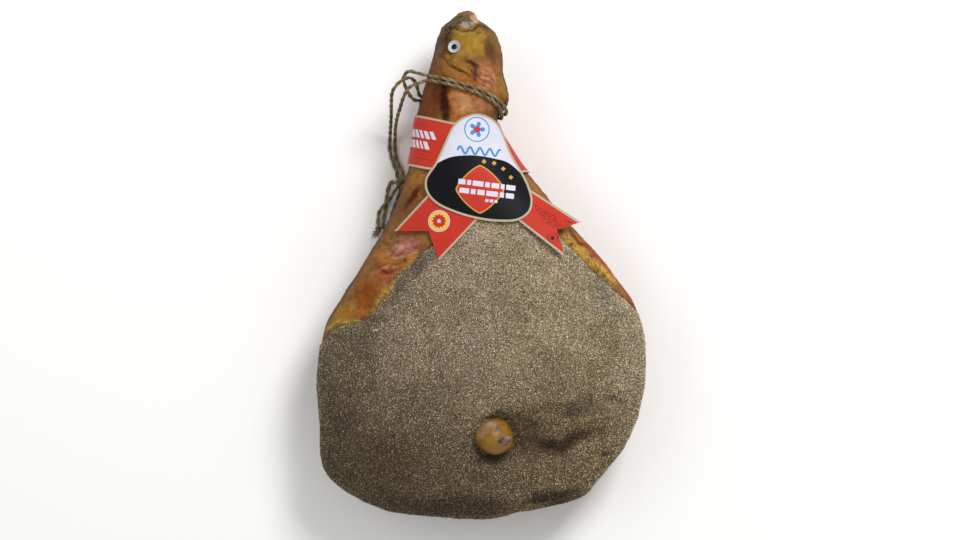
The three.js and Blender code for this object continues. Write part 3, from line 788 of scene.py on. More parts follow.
# strokes along a line: line, width, colour, strength
skinStrokes = [
    # the bare hock
    (hockSeam, 1.1, "#221a10", 0.9),
    ([(-30, 232), (-24, 232), (-18, 230), (-9, 231)], 1.5, "#c0a048", 0.6),
    # round the seal, the bruise and the wrinkles beside it
    # painted shade in the fold by the seal, then a painted highlight on the ridge beside it
    (sealFold, 1.2, "#2b1a0c", 0.85),
    (sealRidge, 1.5, "#c79c46", 0.7),
    (bruiseFold, 2.2, "#1c0d14", 0.95),
    ([(-12, 200), (-5, 196), (-7, 190), (-8, 184)], 2.3, "#33191e", 0.8),
    # painted highlights on the wrinkles' ridges, then painted shade in their grooves
    (shankRidgeA, 1, "#d39b72", 0.4),
    (shankRidgeB, 1, "#d39b72", 0.4),
    (shankRidgeC, 1, "#d39b72", 0.4),
    (shankGrooveA, 0.9, "#6e3826", 0.5),
    (shankGrooveB, 0.9, "#6e3826", 0.5),
    # left flank
    # painted shade in the fold
    (flankFold, 3, "#4a120c", 0.95),
    ([(-65, 11), (-72, -1), (-78, -9), (-86, -20), (-95, -27), (-102, -37), (-106, -46)],
     3.2, "#e0b450", 0.85),
    # from here to the end of the left flank: painted highlights along the ridges and painted shade along the
    # grooves
    (flankRidgeA, 1.5, "#e3a052", 0.8),
    (flankGrooveA, 1.1, "#7d4a1e", 0.7),
    (flankRidgeD, 1.3, "#d98a62", 0.7),
    (flankRidgeE, 1.3, "#d08058", 0.65),
    (flankGrooveC, 1.1, "#74301c", 0.65),
    (flankGrooveD, 1.1, "#7c3420", 0.65),
    (flankGrooveB, 1.2, "#7a3a34", 0.6),
    (flankRidgeB, 1.3, "#d8a08a", 0.6),
    (flankRidgeC, 1.3, "#d5a090", 0.6),
    ([(-155, -66), (-145, -57), (-129, -55), (-121, -58)], 1.7, "#dcbc5c", 0.8),
    # right flank
    ([(87, 37), (92, 29), (98, 22), (106, 16), (113, 9)], 2.3, "#5a0f10", 0.95),
    ([(92, 37), (100, 26), (110, 14), (120, 3), (130, -9), (140, -21), (147, -33), (153, -46)],
     2.6, "#c2501a", 0.85),
    ([(79, 29), (89, 19), (99, 11), (110, 1), (123, -7), (132, -16)], 2.6, "#e6b850", 0.9),
]
# where the skin is crinkled: x, y, half width, half length, amount
skinCrinkles = [
    (-84, 16, 24, 20, 0.7), (-100, -12, 20, 18, 0.8), (-124, -34, 18, 18, 0.5), (8, 184, 15, 18, 0.6),
    (-18, 241, 16, 8, 1.0), (-30, 200, 14, 12, 0.5), (-66, 70, 16, 24, 0.4), (96, 30, 16, 20, 0.3),
]
# where dark specks lie on the skin: x, y, half width, half length, amount
skinSpecks = [
    # the bare hock
    (-19, 241, 15, 9, 1), (-36, 229, 9, 12, 0.8), (-34, 210, 7, 11, 0.6), (5, 235, 8, 4, 0.7),
    # round the seal, the bruise and the wrinkles beside it
    (-8, 190, 6, 9, 1),
    # left flank
    (-129, -58, 16, 5, 0.6),
    # right flank
    (110, -4, 14, 18, 0.9), (124, -24, 14, 18, 1), (86, 23, 9, 6, 0.6),
]


def mixTones(base, x, y, warp, tones, strokes, reach=1.0):
    # Ovals of colour first, each turned, then strokes along lines; warp makes their edges ragged.
    x, y = x + warp[0], y + warp[1]
    for atX, atY, wide, long, turn, code, strength in tones:
        angle = np.radians(turn)
        across = (x - atX) * np.cos(angle) + (y - atY) * np.sin(angle)
        along = (y - atY) * np.cos(angle) - (x - atX) * np.sin(angle)
        base = paint(base, code, strength * oval(across, along, 0, 0, wide, long) * reach)
    for line, width, code, strength in strokes:
        away, along = strokeDistance(x, y, line)
        ends = np.sin(np.pi * np.clip(along, 0.05, 0.95)) ** 0.4
        base = paint(base, code, strength * np.exp(-(away / width) ** 2) * ends * reach)
    return base


# Dry-cured pork skin, salted, washed and rubbed with lard: amber to brown, greasy half gloss, fine pores and
# wrinkles. Pores are 0.3 mm on 2 mm centres, drawn 1 mm wide; wrinkles 1 to 4 mm apart.
curedRind, tree, shader, place = startMaterial("larded cured rind", Roughness=0.4, IOR=1.46)
shader["Specular IOR Level"].default_value = 0.05
mottle = noiseNode(tree, place, 90, 5, 0.62, 0.6)
tint = mottledTone(tree, mottle, 0.3, 0.72, 0.72, 1.3)
blood = rangeNode(tree, noiseNode(tree, place, 160, 3), 0.56, 0.7, 0, 0.4)
tint = mixNode(tree, blood, tint, skin["blood"])
pore = addNode(tree, "TexVoronoi", {"Vector": place, "Scale": 420, "Randomness": 1.0}).outputs["Distance"]
tint = mixNode(tree, rangeNode(tree, pore, 0.08, 0.3, 0.3, 0), tint, skin["pore"])
tree.links.new(tint, shader["Base Color"])
tree.links.new(rangeNode(tree, mottle, 0.3, 0.7, 0.4, 0.6), shader["Roughness"])
stretch = addNode(tree, "Mapping", {"Vector": place, "Scale": (1.0, 1.9, 1.0), "Rotation": (0, 0, 0.5)})
wrinkles = bumpNode(tree, 0.8, 0.0016, noiseNode(tree, stretch.outputs[0], 230, 5, 0.6, 1.1))
tree.links.new(bumpNode(tree, 0.3, 0.0004, pore, wrinkles), shader["Normal"])


def crinkle(points):
    # Sharp ridges where stretched noise crosses zero, 1 on a ridge and -1 between, in two sizes.
    x, y = points[..., 0], points[..., 1]
    amount = np.full(x.shape, skin["evenCrinkle"])
    for *spot, much in skinCrinkles:
        amount = np.maximum(amount, much * oval(x, y, *spot))
    turned = np.stack([x * 0.8 + y * 0.45, y * 1.7 - x * 0.9, points[..., 2]], axis=-1)
    large = 1 - 3 * np.abs(lattice(turned, 7.5, 61))
    small = 1 - 3 * np.abs(lattice(turned, 3.6, 62))
    return amount * (0.6 * large + 0.4 * small)


def skinRelief(points, normals):
    # Lumps of three sizes plus the creases, which only mark the upper side.
    x, y = points[..., 0], points[..., 1]
    upper = blend(normals[..., 2], -0.05, 0.35)
    bare = 0.35 + 0.65 * blend(y, -70, -30)
    warp = layered(points, skin["creaseWarp"])
    marks = sum(groove(x + warp, y + warp, line, width, depth) for line, width, depth in skinCreases)
    folds = skin["folds"] * lattice(points * [1, 2.2, 1], 4.5, 8) * blend(y, -60, 30)
    relief = layered(points, skin["lumps"]) + folds + skin["crinkles"] * crinkle(points)
    return relief * bare + marks * upper


def skinTone(points, normals):
    # The tones mark the upper side; below, the rind goes from light to dark over 30 mm patches. Painted
    # shade, dark brown, lies along the level where the skin turns under; on the bare right flank the same
    # band is painted amber. The crinkles are painted lighter on their ridges and darker between them, as
    # painted light and shade.
    x, y, facing = points[..., 0], points[..., 1], normals[..., 2]
    patchy = blend(layered(points, skin["patches"]), -0.9, 0.9)
    upper = blend(facing, -0.25, 0.3)
    base = paint(paint(inkTone(skin["rindDark"]), skin["rindLight"], patchy), skin["base"], upper)
    warp = layered(points, skin["warpX"]), layered(points, skin["warpY"])
    base = mixTones(base, x, y, warp, skinTones, skinStrokes, upper)
    # painted shade along where the skin turns under, dark brown, except on the bare right flank where the
    # band is amber
    strip = blend(x, 55, 75) * blend(-y, -70, -50)
    sideShadeAndAmber = paint(inkTone(skin["side"]), skin["sideRight"], strip)
    below, left, right = skin["sideWidths"]
    width = np.where(facing < skin["sideLevel"], below, np.where(normals[..., 0] < 0, left, right))
    side = np.exp(-((facing - skin["sideLevel"]) / width) ** 2) * blend(y, -90, -40)
    uneven = skin["sideStrength"] + layered(points, skin["sideNoise"])
    side = (side * np.clip(uneven, *skin["sideLimits"]))[..., None]
    base = base * (1 - side) + sideShadeAndAmber * side
    amount = sum(much * oval(x, y, *spot) for *spot, much in skinSpecks)
    specks = blend(layered(points, skin["specks"]), 0.25, 0.5) * amount * upper
    base = base * (1 - skin["speckShade"] * np.clip(specks, 0, 1))[..., None]
    # painted light on the crinkles' ridges and painted shade between them
    base = base * (1 + skin["crinkleShade"] * crinkle(points))[..., None]
    return np.clip(base * skin["shade"], darkest, 1)


# How the crust lies. The grains' sizes are half widths.
crust = {
    "clearance": 0.5, "thickness": 2, "step": 2.1, "columns": 214, "feather": 5, "slowFeather": 14,
    "buried": 0.9, "bareRight": 0.055, "closingY": -246, "base": "#796854",
    "lumps": [(42, 1.3, 41), (17, 0.7, 42), (6.5, 0.42, 43), (3.2, 0.22, 44)],
    "cloudX": [(16, 5, 51)], "cloudY": [(16, 5, 52)], "clouds": [(34, 0.2, 53), (10, 0.17, 54)],
    # painted light: the crust's tone rises toward the hock and to the right and falls toward the butt and
    # the left, held between two limits
    "middleLight": 1.1, "middleY": -100, "lightSlopeX": 0.0019, "lightSlopeY": 0.0034, "lightLimits": (0.5, 1.7),
    "buttLoss": (0.2, 0.26, 0.38),
    "trough": (1.02, 0.14, -1.8), "hockTrough": (1.13, 0.11, -3.4), "bank": (1.4, 0.16, 0.9),
    "grains": 24000, "grainPieces": 5, "grainSize": (0.26, 0.6), "grainGain": 1.3,
    "stray": 2600, "strayRight": 0.62, "strayFar": 7, "strayNear": 2.6, "strayTone": 0.16, "legRadius": 85,
}
# the crust's edge: y, left reach, right reach and how thinly it ends on the right
crustEdge = [
    [84, 0.5, 0.5, 0], [68, 0.2, 0.64, 0.3], [50, -0.08, 0.74, 1], [30, -0.33, 0.81, 1],
    [10, -0.53, 0.86, 1], [-12, -0.66, 0.9, 0.8], [-30, -0.69, 0.945, 0.4], [-45, -0.72, 0.985, 0],
    [-55, -0.75, 1, 0], [-60, -0.86, 1.005, 0], [-66, -0.95, 1.01, 0], [-80, -1, 1.03, 0],
    [-105, -1.06, 1.08, 0], [-133, -1.14, 1.15, 0], [-160, -1.2, 1.18, 0], [-184, -1.25, 1.22, 0],
    [-202, -1.3, 1.27, 0], [-217, -1.36, 1.35, 0], [-230, -1.46, 1.46, 0], [-240, -1.62, 1.62, 0],
    [-246.5, -2, 2, 0], [-250.5, -2, 2, 0],
]


def reachAngle(reach):
    # 0 is the ridge, 1 the side of the leg, 2 the middle of the rind; a negative reach goes left.
    size = np.abs(reach)
    above = np.arccos(np.clip(size, 0, 1) ** (leg["squareness"] / 2))
    side = np.where(size <= 1, above, -(size - 1) * np.pi / 2)
    return np.where(reach > 0, side, np.pi - side)


def edgeReach(y):  # straight between the rows of the edge's table
    rows = np.array(crustEdge)[::-1].T
    return np.interp(y, rows[0], rows[1]), np.interp(y, rows[0], rows[2] - crust["bareRight"] * rows[3])


def crustReach(y):
    # The two edges in angle, made ragged by noise that dies out where they close under the rind.
    left, right = edgeReach(y)
    spots = np.stack([y, y * 0, y * 0], axis=-1)
    ragged = 1 - blend(-y, 225, 240)
    left = left + ragged * (0.02 * lattice(spots, 9, 31) + 0.012 * lattice(spots, 3, 32))
    right = right + ragged * (0.02 * lattice(spots + 500, 9, 33) + 0.012 * lattice(spots + 500, 3, 34))
    closing = y < crust["closingY"]
    return reachAngle(np.where(closing, 2.0, right)), reachAngle(np.where(closing, -2.0, left))


def underCrust(y, angles):
    # 1 well inside the crust's edges and 0 outside them, so that the skin can lie deeper there.
    first, last = crustReach(y)
    angles = np.where(angles > 1.5 * np.pi, angles - 2 * np.pi, angles)[None]
    inside = blend(angles - first[:, None], 0.05, 0.16) * blend(last[:, None] - angles, 0.05, 0.16)
    return inside * blend(-y, -70, -55)[:, None]


def hamSkin():
    # The leg's surface on a grid of stations and angles, moved along its normals by the relief.
    lower = evenStations(leg["buttY"], skin["splitY"], skin["rindStep"])
    upper = evenStations(skin["splitY"], leg["hockY"], skin["legStep"])
    rows = legRows(np.concatenate([lower[:-1], upper]))
    angles = np.arange(skin["columns"]) / skin["columns"] * 2 * np.pi
    points = sectionPoints(rows[:, None], angles[None])
    normals = gridNormals(points, True)
    relief = skinRelief(points, normals) - skin["sunk"] * underCrust(rows[:, 0], angles)
    points = points + normals * relief[..., None]
    points[..., 2] = np.maximum(points[..., 2], 0)
    fields = {"tone": addAlpha(skinTone(points, normals))}
    faces = gridFaces(*points.shape[:2], wrap=True, flip=True)
    piece = makePiece("hamSkin", points, [faces], curedRind, "cured_rind", fields, weld=True)
    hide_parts("ham")
    print("ham skin has", len(piece.data.polygons), "faces")


hamSkin()


# Ball of the thigh bone

knob = {
    "centre": (12, -169, 116), "size": (38, 34, 38), "rows": 72, "columns": 108,
    "base": "#ad7a1a", "shade": 0.6,
    "lumps": [(15, 1.5, 21), (6, 0.7, 22), (2.4, 0.16, 26)], "pitted": (22, -174, 7, 6),
}
# tones: x, y, half width, half length, turn in degrees, colour, strength
knobTones = [
    # the second oval, cream, is a painted highlight
    (2, -161, 10, 6, 30, "#a9855f", 0.75), (10, -157, 6, 3, 0, "#c9ab90", 0.7),
    (-1, -172, 3, 7, 10, "#8a6420", 0.5),
    # the first oval, cream, is a painted highlight
    (14, -165, 2.6, 4, 25, "#d3b796", 0.5), (10, -175, 6, 3, 0, "#c08a26", 0.5),
    (16, -160, 3, 6, 20, "#7a5c46", 0.6),
    (-3, -166, 5, 7, 0, "#a97f45", 0.6), (22, -173.5, 8, 6.5, 20, "#93735f", 0.9),
    (26, -170, 3, 2.4, 0, "#c0a796", 0.8),
    (18, -173, 2, 1.6, 0, "#3a2418", 0.85), (23, -176.5, 1.6, 1.3, 0, "#2c1a14", 0.85),
    (21, -171, 1.4, 1.1, 0, "#3a2418", 0.8),
    (26, -174, 1.2, 1.0, 0, "#3a2418", 0.8), (6, -180, 12, 4, 0, "#b8801c", 0.7),
    (28, -163, 3, 6, 0, "#b87d1e", 0.7),
]
# Cured cartilage on bone: waxy ochre with a smooth gloss, and a rough dry patch where it was cut.
curedBone, tree, shader, place = startMaterial("waxy cured cartilage", Roughness=0.35, IOR=1.5)
shader["Specular IOR Level"].default_value = 0.3
mottle = noiseNode(tree, place, 260, 4, 0.6)
tree.links.new(mottledTone(tree, mottle, 0.3, 0.7, 0.78, 1.22), shader["Base Color"])
tree.links.new(rangeNode(tree, mottle, 0.35, 0.65, 0.3, 0.5), shader["Roughness"])
tree.links.new(bumpNode(tree, 0.5, 0.0005, mottle), shader["Normal"])


def boneBall():
    # An ellipsoid by latitude and longitude, made egg-shaped toward +X, with lumps and a pitted patch.
    lat = np.linspace(-np.pi / 2, np.pi / 2, knob["rows"])[:, None]
    lon = (np.arange(knob["columns"]) / knob["columns"] * 2 * np.pi)[None]
    ball = np.broadcast_arrays(np.cos(lat) * np.cos(lon), np.cos(lat) * np.sin(lon), np.sin(lat))
    ball = np.stack(ball, axis=-1)
    egg = 1 + 0.06 * ball[..., :1] * [0, 1, 1] - 0.03 * ball[..., 1:2] * [1, 0, 0]
    points = np.array(knob["centre"]) + ball * egg * np.array(knob["size"]) / 2
    normals = unit(ball / np.array(knob["size"]))
    x, y = points[..., 0], points[..., 1]
    upper = blend(normals[..., 2], 0.1, 0.5)
    pits = oval(x, y, *knob["pitted"]) * upper
    relief = layered(points, knob["lumps"]) + pits * (0.9 * lattice(points, 2.6, 23) - 0.6)
    points = points + normals * relief[..., None]
    base = np.broadcast_to(inkTone(knob["base"]), points.shape)
    warp = (1.5 * lattice(points, 5, 24), 1.5 * lattice(points, 5, 25))
    tones = np.clip(mixTones(base, x, y, warp, knobTones, [], upper), darkest, 1)
    # painted shade: the tone falls to 0.45 of itself where the ball turns from facing up to facing sideways
    # and down
    low = blend(normals[..., 2], 0.0, 0.5)[..., None] * 0.55 + 0.45
    fields = {"tone": addAlpha(tones * low * knob["shade"])}
    faces = gridFaces(*points.shape[:2], wrap=True)
    piece = makePiece("boneBall", points, [faces], curedBone, "cured_rind", fields, weld=True)
    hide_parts("ham")


boneBall()
print("bone ball is in")


# Pepper crust and its grains

# creases: line, width, depth
crustCreases = [
    ([(24, -151), (47, -147), (64, -144), (77, -144), (97, -139), (114, -130)], 4.6, 4.6),
    ([(46, -184), (66, -181), (77, -178), (100, -165), (118, -155)], 6, 5),
    ([(96, -141), (104, -139), (110, -142)], 3.2, 2),
    ([(122, -133), (130, -132), (137, -135)], 3.2, 1.8),
    ([(120, -190), (127, -187)], 3, 1.6),
    ([(-110, -120), (-90, -126), (-70, -124)], 7, 1.0),
    ([(-30, -205), (0, -211), (30, -208)], 8, 1.1),
    ([(-60, -60), (-40, -66), (-10, -64)], 7, 0.8),
    ([(40, -232), (60, -236), (86, -231)], 5, 1.6),
]
# tones: x, y, half width, half length, turn in degrees, colour, strength
crustTones = [
    # the first oval is painted shade over the hollows right of the bone ball
    (62, -158, 62, 24, 6, "#5b482f", 0.6), (92, -142, 18, 6, 0, "#3a332c", 0.6),
    (129, -132, 9, 5, 0, "#3c3733", 0.65),
    # both are painted shade in creases
    (78, -177, 40, 9, 18, "#44321d", 0.7), (124, -189, 5, 4, 0, "#31271d", 0.75),
    # painted shadow below the bone ball
    (14, -191, 24, 6, 0, "#40321f", 0.7),
    # both are painted shade beside the bone ball, right and left
    (40, -170, 14, 18, 0, "#44351f", 0.7), (-8, -172, 5, 14, 0, "#4f4233", 0.5),
    # painted shade in the fold near the lower edge
    (70, -233, 26, 7, 8, "#33230f", 0.8),
    # the first oval is painted shade along the lower edge, where the crust turns down
    (-30, -240, 70, 10, 0, "#43331f", 0.6), (-58, 8, 12, 24, -35, "#4d463d", 0.75),
    (-74, -22, 10, 14, -30, "#625543", 0.6),
    # the second oval is painted shade toward the left edge
    (80, -60, 60, 60, 0, "#7a6a50", 0.6), (-140, -110, 26, 70, 0, "#51442f", 0.5),
    (-159, -105, 4, 34, 0, "#8c8678", 0.35),
    # the second oval is painted light toward the upper right
    (-112, -52, 22, 7, 0, "#463c2e", 0.65), (60, 0, 40, 26, 0, "#88765c", 0.5),
    (112, -90, 24, 44, -20, "#695b44", 0.6),
    # the first oval is painted shade toward the lower left
    (-90, -190, 40, 24, 20, "#5a4a30", 0.5), (120, -28, 16, 14, 0, "#6c6557", 0.5),
]
# strokes along a line: line, width, colour, strength
crustStrokes = [
    # painted shade in the gap round the top of the bone ball
    ([(6, -151.5), (11, -149), (18, -147.6), (26, -150), (31, -155)], 2.3, "#120d09", 0.92),
    # these three are painted shade along the two creases right of the ball
    ([(24, -149), (40, -152), (54, -156), (66, -157)], 5, "#33271a", 0.75),
    ([(77, -144), (92, -141), (108, -137)], 5, "#35302b", 0.55),
    ([(40, -176), (54, -177), (66, -179), (77, -180), (90, -173), (103, -166), (118, -162)],
     6, "#2b1c0d", 0.85),
    ([(84, 26), (100, 6), (114, -14), (124, -34), (134, -52)], 8, "#5d574c", 0.6),
    ([(-64, 16), (-74, -4), (-86, -24), (-98, -38), (-112, -48)], 4, "#3f382e", 0.6),
    # these three are painted shade of soft folds, drawn in colour only
    ([(-122, -62), (-110, -100), (-102, -150)], 9, "#473b2a", 0.45),
    ([(-52, -60), (-42, -108)], 8, "#5b4e3b", 0.4),
    ([(100, -55), (128, -85), (146, -112)], 7, "#5f523f", 0.45),
    # painted shadow below and left of the bone ball
    ([(-6, -176), (0, -187), (12, -191), (26, -188)], 4, "#231a10", 0.7),
]


# Ground black pepper pressed into a paste of lard and flour: dull grey-brown, no gloss, coarse as sand.
# The paste's own crumbs are 1 to 2 mm; the grains on top are pieces of their own.
pepperPaste, tree, shader, place = startMaterial("pepper and flour paste", Roughness=0.93, IOR=1.4)
crumbs = noiseNode(tree, place, 620, 3, 0.7)
tree.links.new(mottledTone(tree, crumbs, 0.36, 0.66, 0.3, 1.55), shader["Base Color"])
tree.links.new(bumpNode(tree, 0.9, 0.0012, crumbs), shader["Normal"])

# Cracked peppercorns: cream cores, brown shells and black skins, all matt with broken faces.
crackedPepper, tree, shader, place = startMaterial("cracked peppercorn", Roughness=0.8, IOR=1.45)
tree.links.new(fieldNode(tree, "tone", "Color"), shader["Base Color"])


def crustRelief(points):
    # Lumps of four sizes and the hollows, with a trough and a low bank round the bone ball. The trough is
    # deeper where it faces the hock.
    x, y = points[..., 0], points[..., 1]
    warp = 2.2 * lattice(points, 12, 45)
    marks = sum(groove(x + warp, y + warp, line, width, depth) for line, width, depth in crustCreases)
    (atX, atY, _), (wide, long, _) = knob["centre"], knob["size"]
    ring = np.hypot((x - atX) / (wide / 2), (y - atY) / (long / 2))
    facing = ((x - atX) * 0.5 + (y - atY) * 0.87) / np.maximum(np.hypot(x - atX, y - atY), 1)
    trough, hockTrough, bank = [height * np.exp(-((ring - size) / width) ** 2) for size, width, height in
                                (crust["trough"], crust["hockTrough"], crust["bank"])]
    trough = trough + hockTrough * blend(facing, 0.1, 0.8)
    return layered(points, crust["lumps"]) + np.where(points[..., 2] > 80, marks + trough + bank, 0)


def crustTone(points):
    # Tones and strokes, many of them painted shade in creases and round the bone ball, times random clouds
    # of two sizes and a painted slope of light; toward the butt it loses its blue.
    x, y = points[..., 0], points[..., 1]
    warp = layered(points, crust["cloudX"]), layered(points, crust["cloudY"])
    base = np.broadcast_to(inkTone(crust["base"]), points.shape)
    base = mixTones(base, x, y, warp, crustTones, crustStrokes)
    # painted slope of light and shade over the crust, times random clouds
    paintedLightSlope = crust["middleLight"] + crust["lightSlopeY"] * (y - crust["middleY"]) + crust["lightSlopeX"] * x
    cloudsAndPaintedLight = (1 + layered(points, crust["clouds"])) * np.clip(paintedLightSlope, *crust["lightLimits"])
    warm = 1 - blend(-y, 60, 230)[..., None] * np.array(crust["buttLoss"])
    return np.clip(base * cloudsAndPaintedLight[..., None] * warm, darkest, 1)


def crustGrid():
    # From edge to edge in angle, lifted along the normal by clearance, thickness and relief, which fall away
    # to the skin's own relief toward the edges; more slowly where the leg's side stands steep.
    stations = evenStations(leg["buttY"], crustEdge[0][0], crust["step"])
    rows = legRows(stations, hockCap=False)
    first, last = crustReach(rows[:, 0])
    share = np.linspace(0, 1, crust["columns"])[None]
    angles = first[:, None] * (1 - share) + last[:, None] * share
    points = sectionPoints(rows[:, None], angles)
    normals = gridNormals(points, False)
    gaps = np.linalg.norm(np.diff(points, axis=1), axis=-1)
    run = np.concatenate([np.zeros((len(rows), 1)), np.cumsum(gaps, axis=1)], axis=1)
    edge = np.minimum(run, run[:, -1:] - run)
    edge = np.where(rows[:, :1] < -240, 99, edge)
    edge = np.minimum(edge, crustEdge[0][0] - points[..., 1])
    turned = blend(np.abs(np.cos(angles)), 0.93, 1.0) * blend(rows[:, :1], -150, -110)
    feather = blend(edge, -1, crust["feather"] + crust["slowFeather"] * turned)
    lift = (crust["clearance"] + crust["thickness"]) * (0.25 + 0.75 * feather)
    lift = lift + crustRelief(points) * feather
    lift = lift + skinRelief(points, normals) * (1 - feather)
    outer = points + normals * lift[..., None]
    inner = points + normals * (np.minimum(lift, 0) - crust["buried"])[..., None]
    outer[..., 2] = np.maximum(outer[..., 2], 0.1)
    inner[..., 2] = np.maximum(inner[..., 2], 0.2)
    return outer, inner, normals, rows[:, 0]


def crustShell():
    # Outer and inner grids of one shape, walled along the two edges and the row nearest the hock.
    outer, inner, normals, rowsY = crustGrid()
    rows, columns = outer.shape[:2]
    under = rows * columns
    index = np.arange(under).reshape(rows, columns)
    openRows = np.flatnonzero(rowsY[:-1] >= crust["closingY"])
    a, b = index[openRows, 0], index[openRows + 1, 0]
    c, d = index[openRows, -1], index[openRows + 1, -1]
    e, f = index[-1, :-1], index[-1, 1:]
    faces = [
        gridFaces(rows, columns, flip=True), gridFaces(rows, columns, start=under),
        np.stack([a, a + under, b + under, b], axis=1), np.stack([c, d, d + under, c + under], axis=1),
        np.stack([e, e + under, f + under, f], axis=1),
    ]
    tones = addAlpha(crustTone(outer))
    fields = {"tone": np.concatenate([tones, tones])}
    points = np.concatenate([outer, inner])
    piece = makePiece("pepperCrust", points, faces, pepperPaste, "pepper_crust", fields, weld=True)
    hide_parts("pepper_crust")
    print("crust has", len(piece.data.polygons), "faces")
    return outer, normals, tones


def grainSpots(outer, normals, tones, count):
    # Random points of the grid's cells, chosen by the cells' areas, with the normal and tone there.
    a, b, d = outer[:-1, :-1], outer[:-1, 1:], outer[1:, :-1]
    area = np.linalg.norm(np.cross(b - a, d - a), axis=-1).ravel()
    cell = dice.choice(len(area), count, p=area / area.sum())
    j, k = np.divmod(cell, outer.shape[1] - 1)
    u, v = dice.random((2, count, 1))

    def inCell(grid):
        near = grid[j, k] * (1 - u) + grid[j, k + 1] * u
        far = grid[j + 1, k] * (1 - u) + grid[j + 1, k + 1] * u
        return near * (1 - v) + far * v
    return inCell(outer), unit(inCell(normals)), inCell(tones[..., :3])


# shades of the grains and the share of each
grainShades = [("#e0d3b8", 0.14), ("#b9a787", 0.27), ("#8d7b5f", 0.24), ("#524332", 0.19), ("#19120c", 0.16)]


def turnMatrices(count):
    # The rotation matrix of a random unit quaternion, for each of the grains.
    w, x, y, z = unit(dice.normal(size=(count, 4))).T
    return np.stack([
        1 - 2 * (y * y + z * z), 2 * (x * y - w * z), 2 * (x * z + w * y),
        2 * (x * y + w * z), 1 - 2 * (x * x + z * z), 2 * (y * z - w * x),
        2 * (x * z - w * y), 2 * (y * z + w * x), 1 - 2 * (x * x + y * y),
    ], axis=-1).reshape(count, 3, 3)


def grainPiece(name, spots, ways, tones):
    # Octahedra squashed and turned at random, a third of their size above the paste. Each takes one of the
    # shades, with its contrast raised toward the butt, times the paste's tone there, painted light and shade
    # included.
    count = len(spots)
    small, large = crust["grainSize"]
    size = small + (large - small) * dice.random((count, 1, 1)) ** 1.8
    shape = dice.uniform(0.55, 1.25, (count, 1, 3))
    corners = np.array([[1, 0, 0], [0, 1, 0], [-1, 0, 0], [0, -1, 0], [0, 0, 1], [0, 0, -1]], float)
    corners = corners[None] * shape * size + dice.normal(size=(count, 6, 3)) * size * 0.16
    points = np.einsum("nij,nkj->nki", turnMatrices(count), corners)
    points = points + (spots + ways * size[:, 0] * 0.35)[:, None]
    upper = [[0, 1, 4], [1, 2, 4], [2, 3, 4], [3, 0, 4]]
    lower = [[1, 0, 5], [2, 1, 5], [3, 2, 5], [0, 3, 5]]
    palette = np.array([inkTone(code) for code, _ in grainShades])
    chosen = palette[dice.choice(len(palette), count, p=[share for _, share in grainShades])]
    low = blend(-spots[:, 1:2], 40, 200)
    bright = chosen.mean(axis=1, keepdims=True) / palette[2].mean()
    chosen = chosen * np.minimum(bright, 2.2) ** (0.12 + 0.26 * low)
    local = tones / inkTone(crust["base"])
    colour = np.clip(chosen * local * crust["grainGain"] * dice.uniform(0.8, 1.2, (count, 1)), 0.003, 0.9)
    fields = {"tone": np.repeat(addAlpha(colour), 6, axis=0)}
    faces = repeatFaces(np.array(upper + lower), count, 6)
    piece = makePiece(name, points, [faces], crackedPepper, "pepper_crust", fields)
    piece.data.shade_flat()
    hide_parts("pepper_crust")


def strayGrains(count):
    # Pepper that fell on the skin: it thins out exponentially from the edge, and goes farther on the right.
    y = dice.uniform(-75, crustEdge[0][0], count)
    right = dice.random(count) < crust["strayRight"]
    first, last = [reachAngle(reach) for reach in edgeReach(y)[::-1]]
    away = dice.exponential(np.where(right, crust["strayFar"], crust["strayNear"])) / crust["legRadius"]
    angles = np.where(right, first - away, last + away)
    spots, ways = legAt(y, angles, np.full(count, 0.1))
    spots = spots + ways * skinRelief(spots, ways)[:, None]
    return spots, ways, np.broadcast_to(inkTone(crust["base"]) * crust["strayTone"], spots.shape)


outer, normals, tones = crustShell()
for number in range(crust["grainPieces"]):
    grainPiece("pepperGrains" + "ABCDE"[number], *grainSpots(outer, normals, tones, crust["grains"]))
grainPiece("strayPepper", *strayGrains(crust["stray"]))
print("pepper is on")


# Seal: a white dished washer and the dark hollow rivet through it

seal = {"x": -26.8, "y": 215.6, "gap": 0.5, "sides": 96}
washer = {"across": 13, "thick": 1.0, "dish": 2.3, "white": "#bcbfc5", "soil": "#64625c"}
rivet = {"across": 3.8, "bore": 2.8, "rim": 0.8, "stands": 0.6, "black": "#15120f", "worn": "#4b443c"}
# Injection-moulded white plastic, slightly satin, faintly soiled in the dish
mouldedPlastic, tree, shader, place = startMaterial("moulded white plastic", Roughness=0.34, IOR=1.49)
soil = rangeNode(tree, noiseNode(tree, place, 320, 3), 0.42, 0.72, 0, 0.55)
tree.links.new(mixNode(tree, soil, washer["white"], washer["soil"]), shader["Base Color"])
# Blackened steel tube, flared by a press: dark with a dull metal edge
blackenedSteel, tree, shader, place = startMaterial("blackened steel", Roughness=0.42, Metallic=0.85)
scuff = rangeNode(tree, noiseNode(tree, place, 700, 3), 0.45, 0.7)
tree.links.new(mixNode(tree, scuff, rivet["black"], rivet["worn"]), shader["Base Color"])


def roundedProfile(corners, passes=3):
    # Cuts every corner of the closed profile at a share of its sides, several times.
    cutShare = 0.18
    keep = 1 - cutShare
    profile = np.array(corners, float)
    for _ in range(passes):
        after = np.roll(profile, -1, axis=0)
        pairs = [profile * keep + after * cutShare, profile * cutShare + after * keep]
        profile = np.stack(pairs, axis=1).reshape(-1, 2)
    return profile


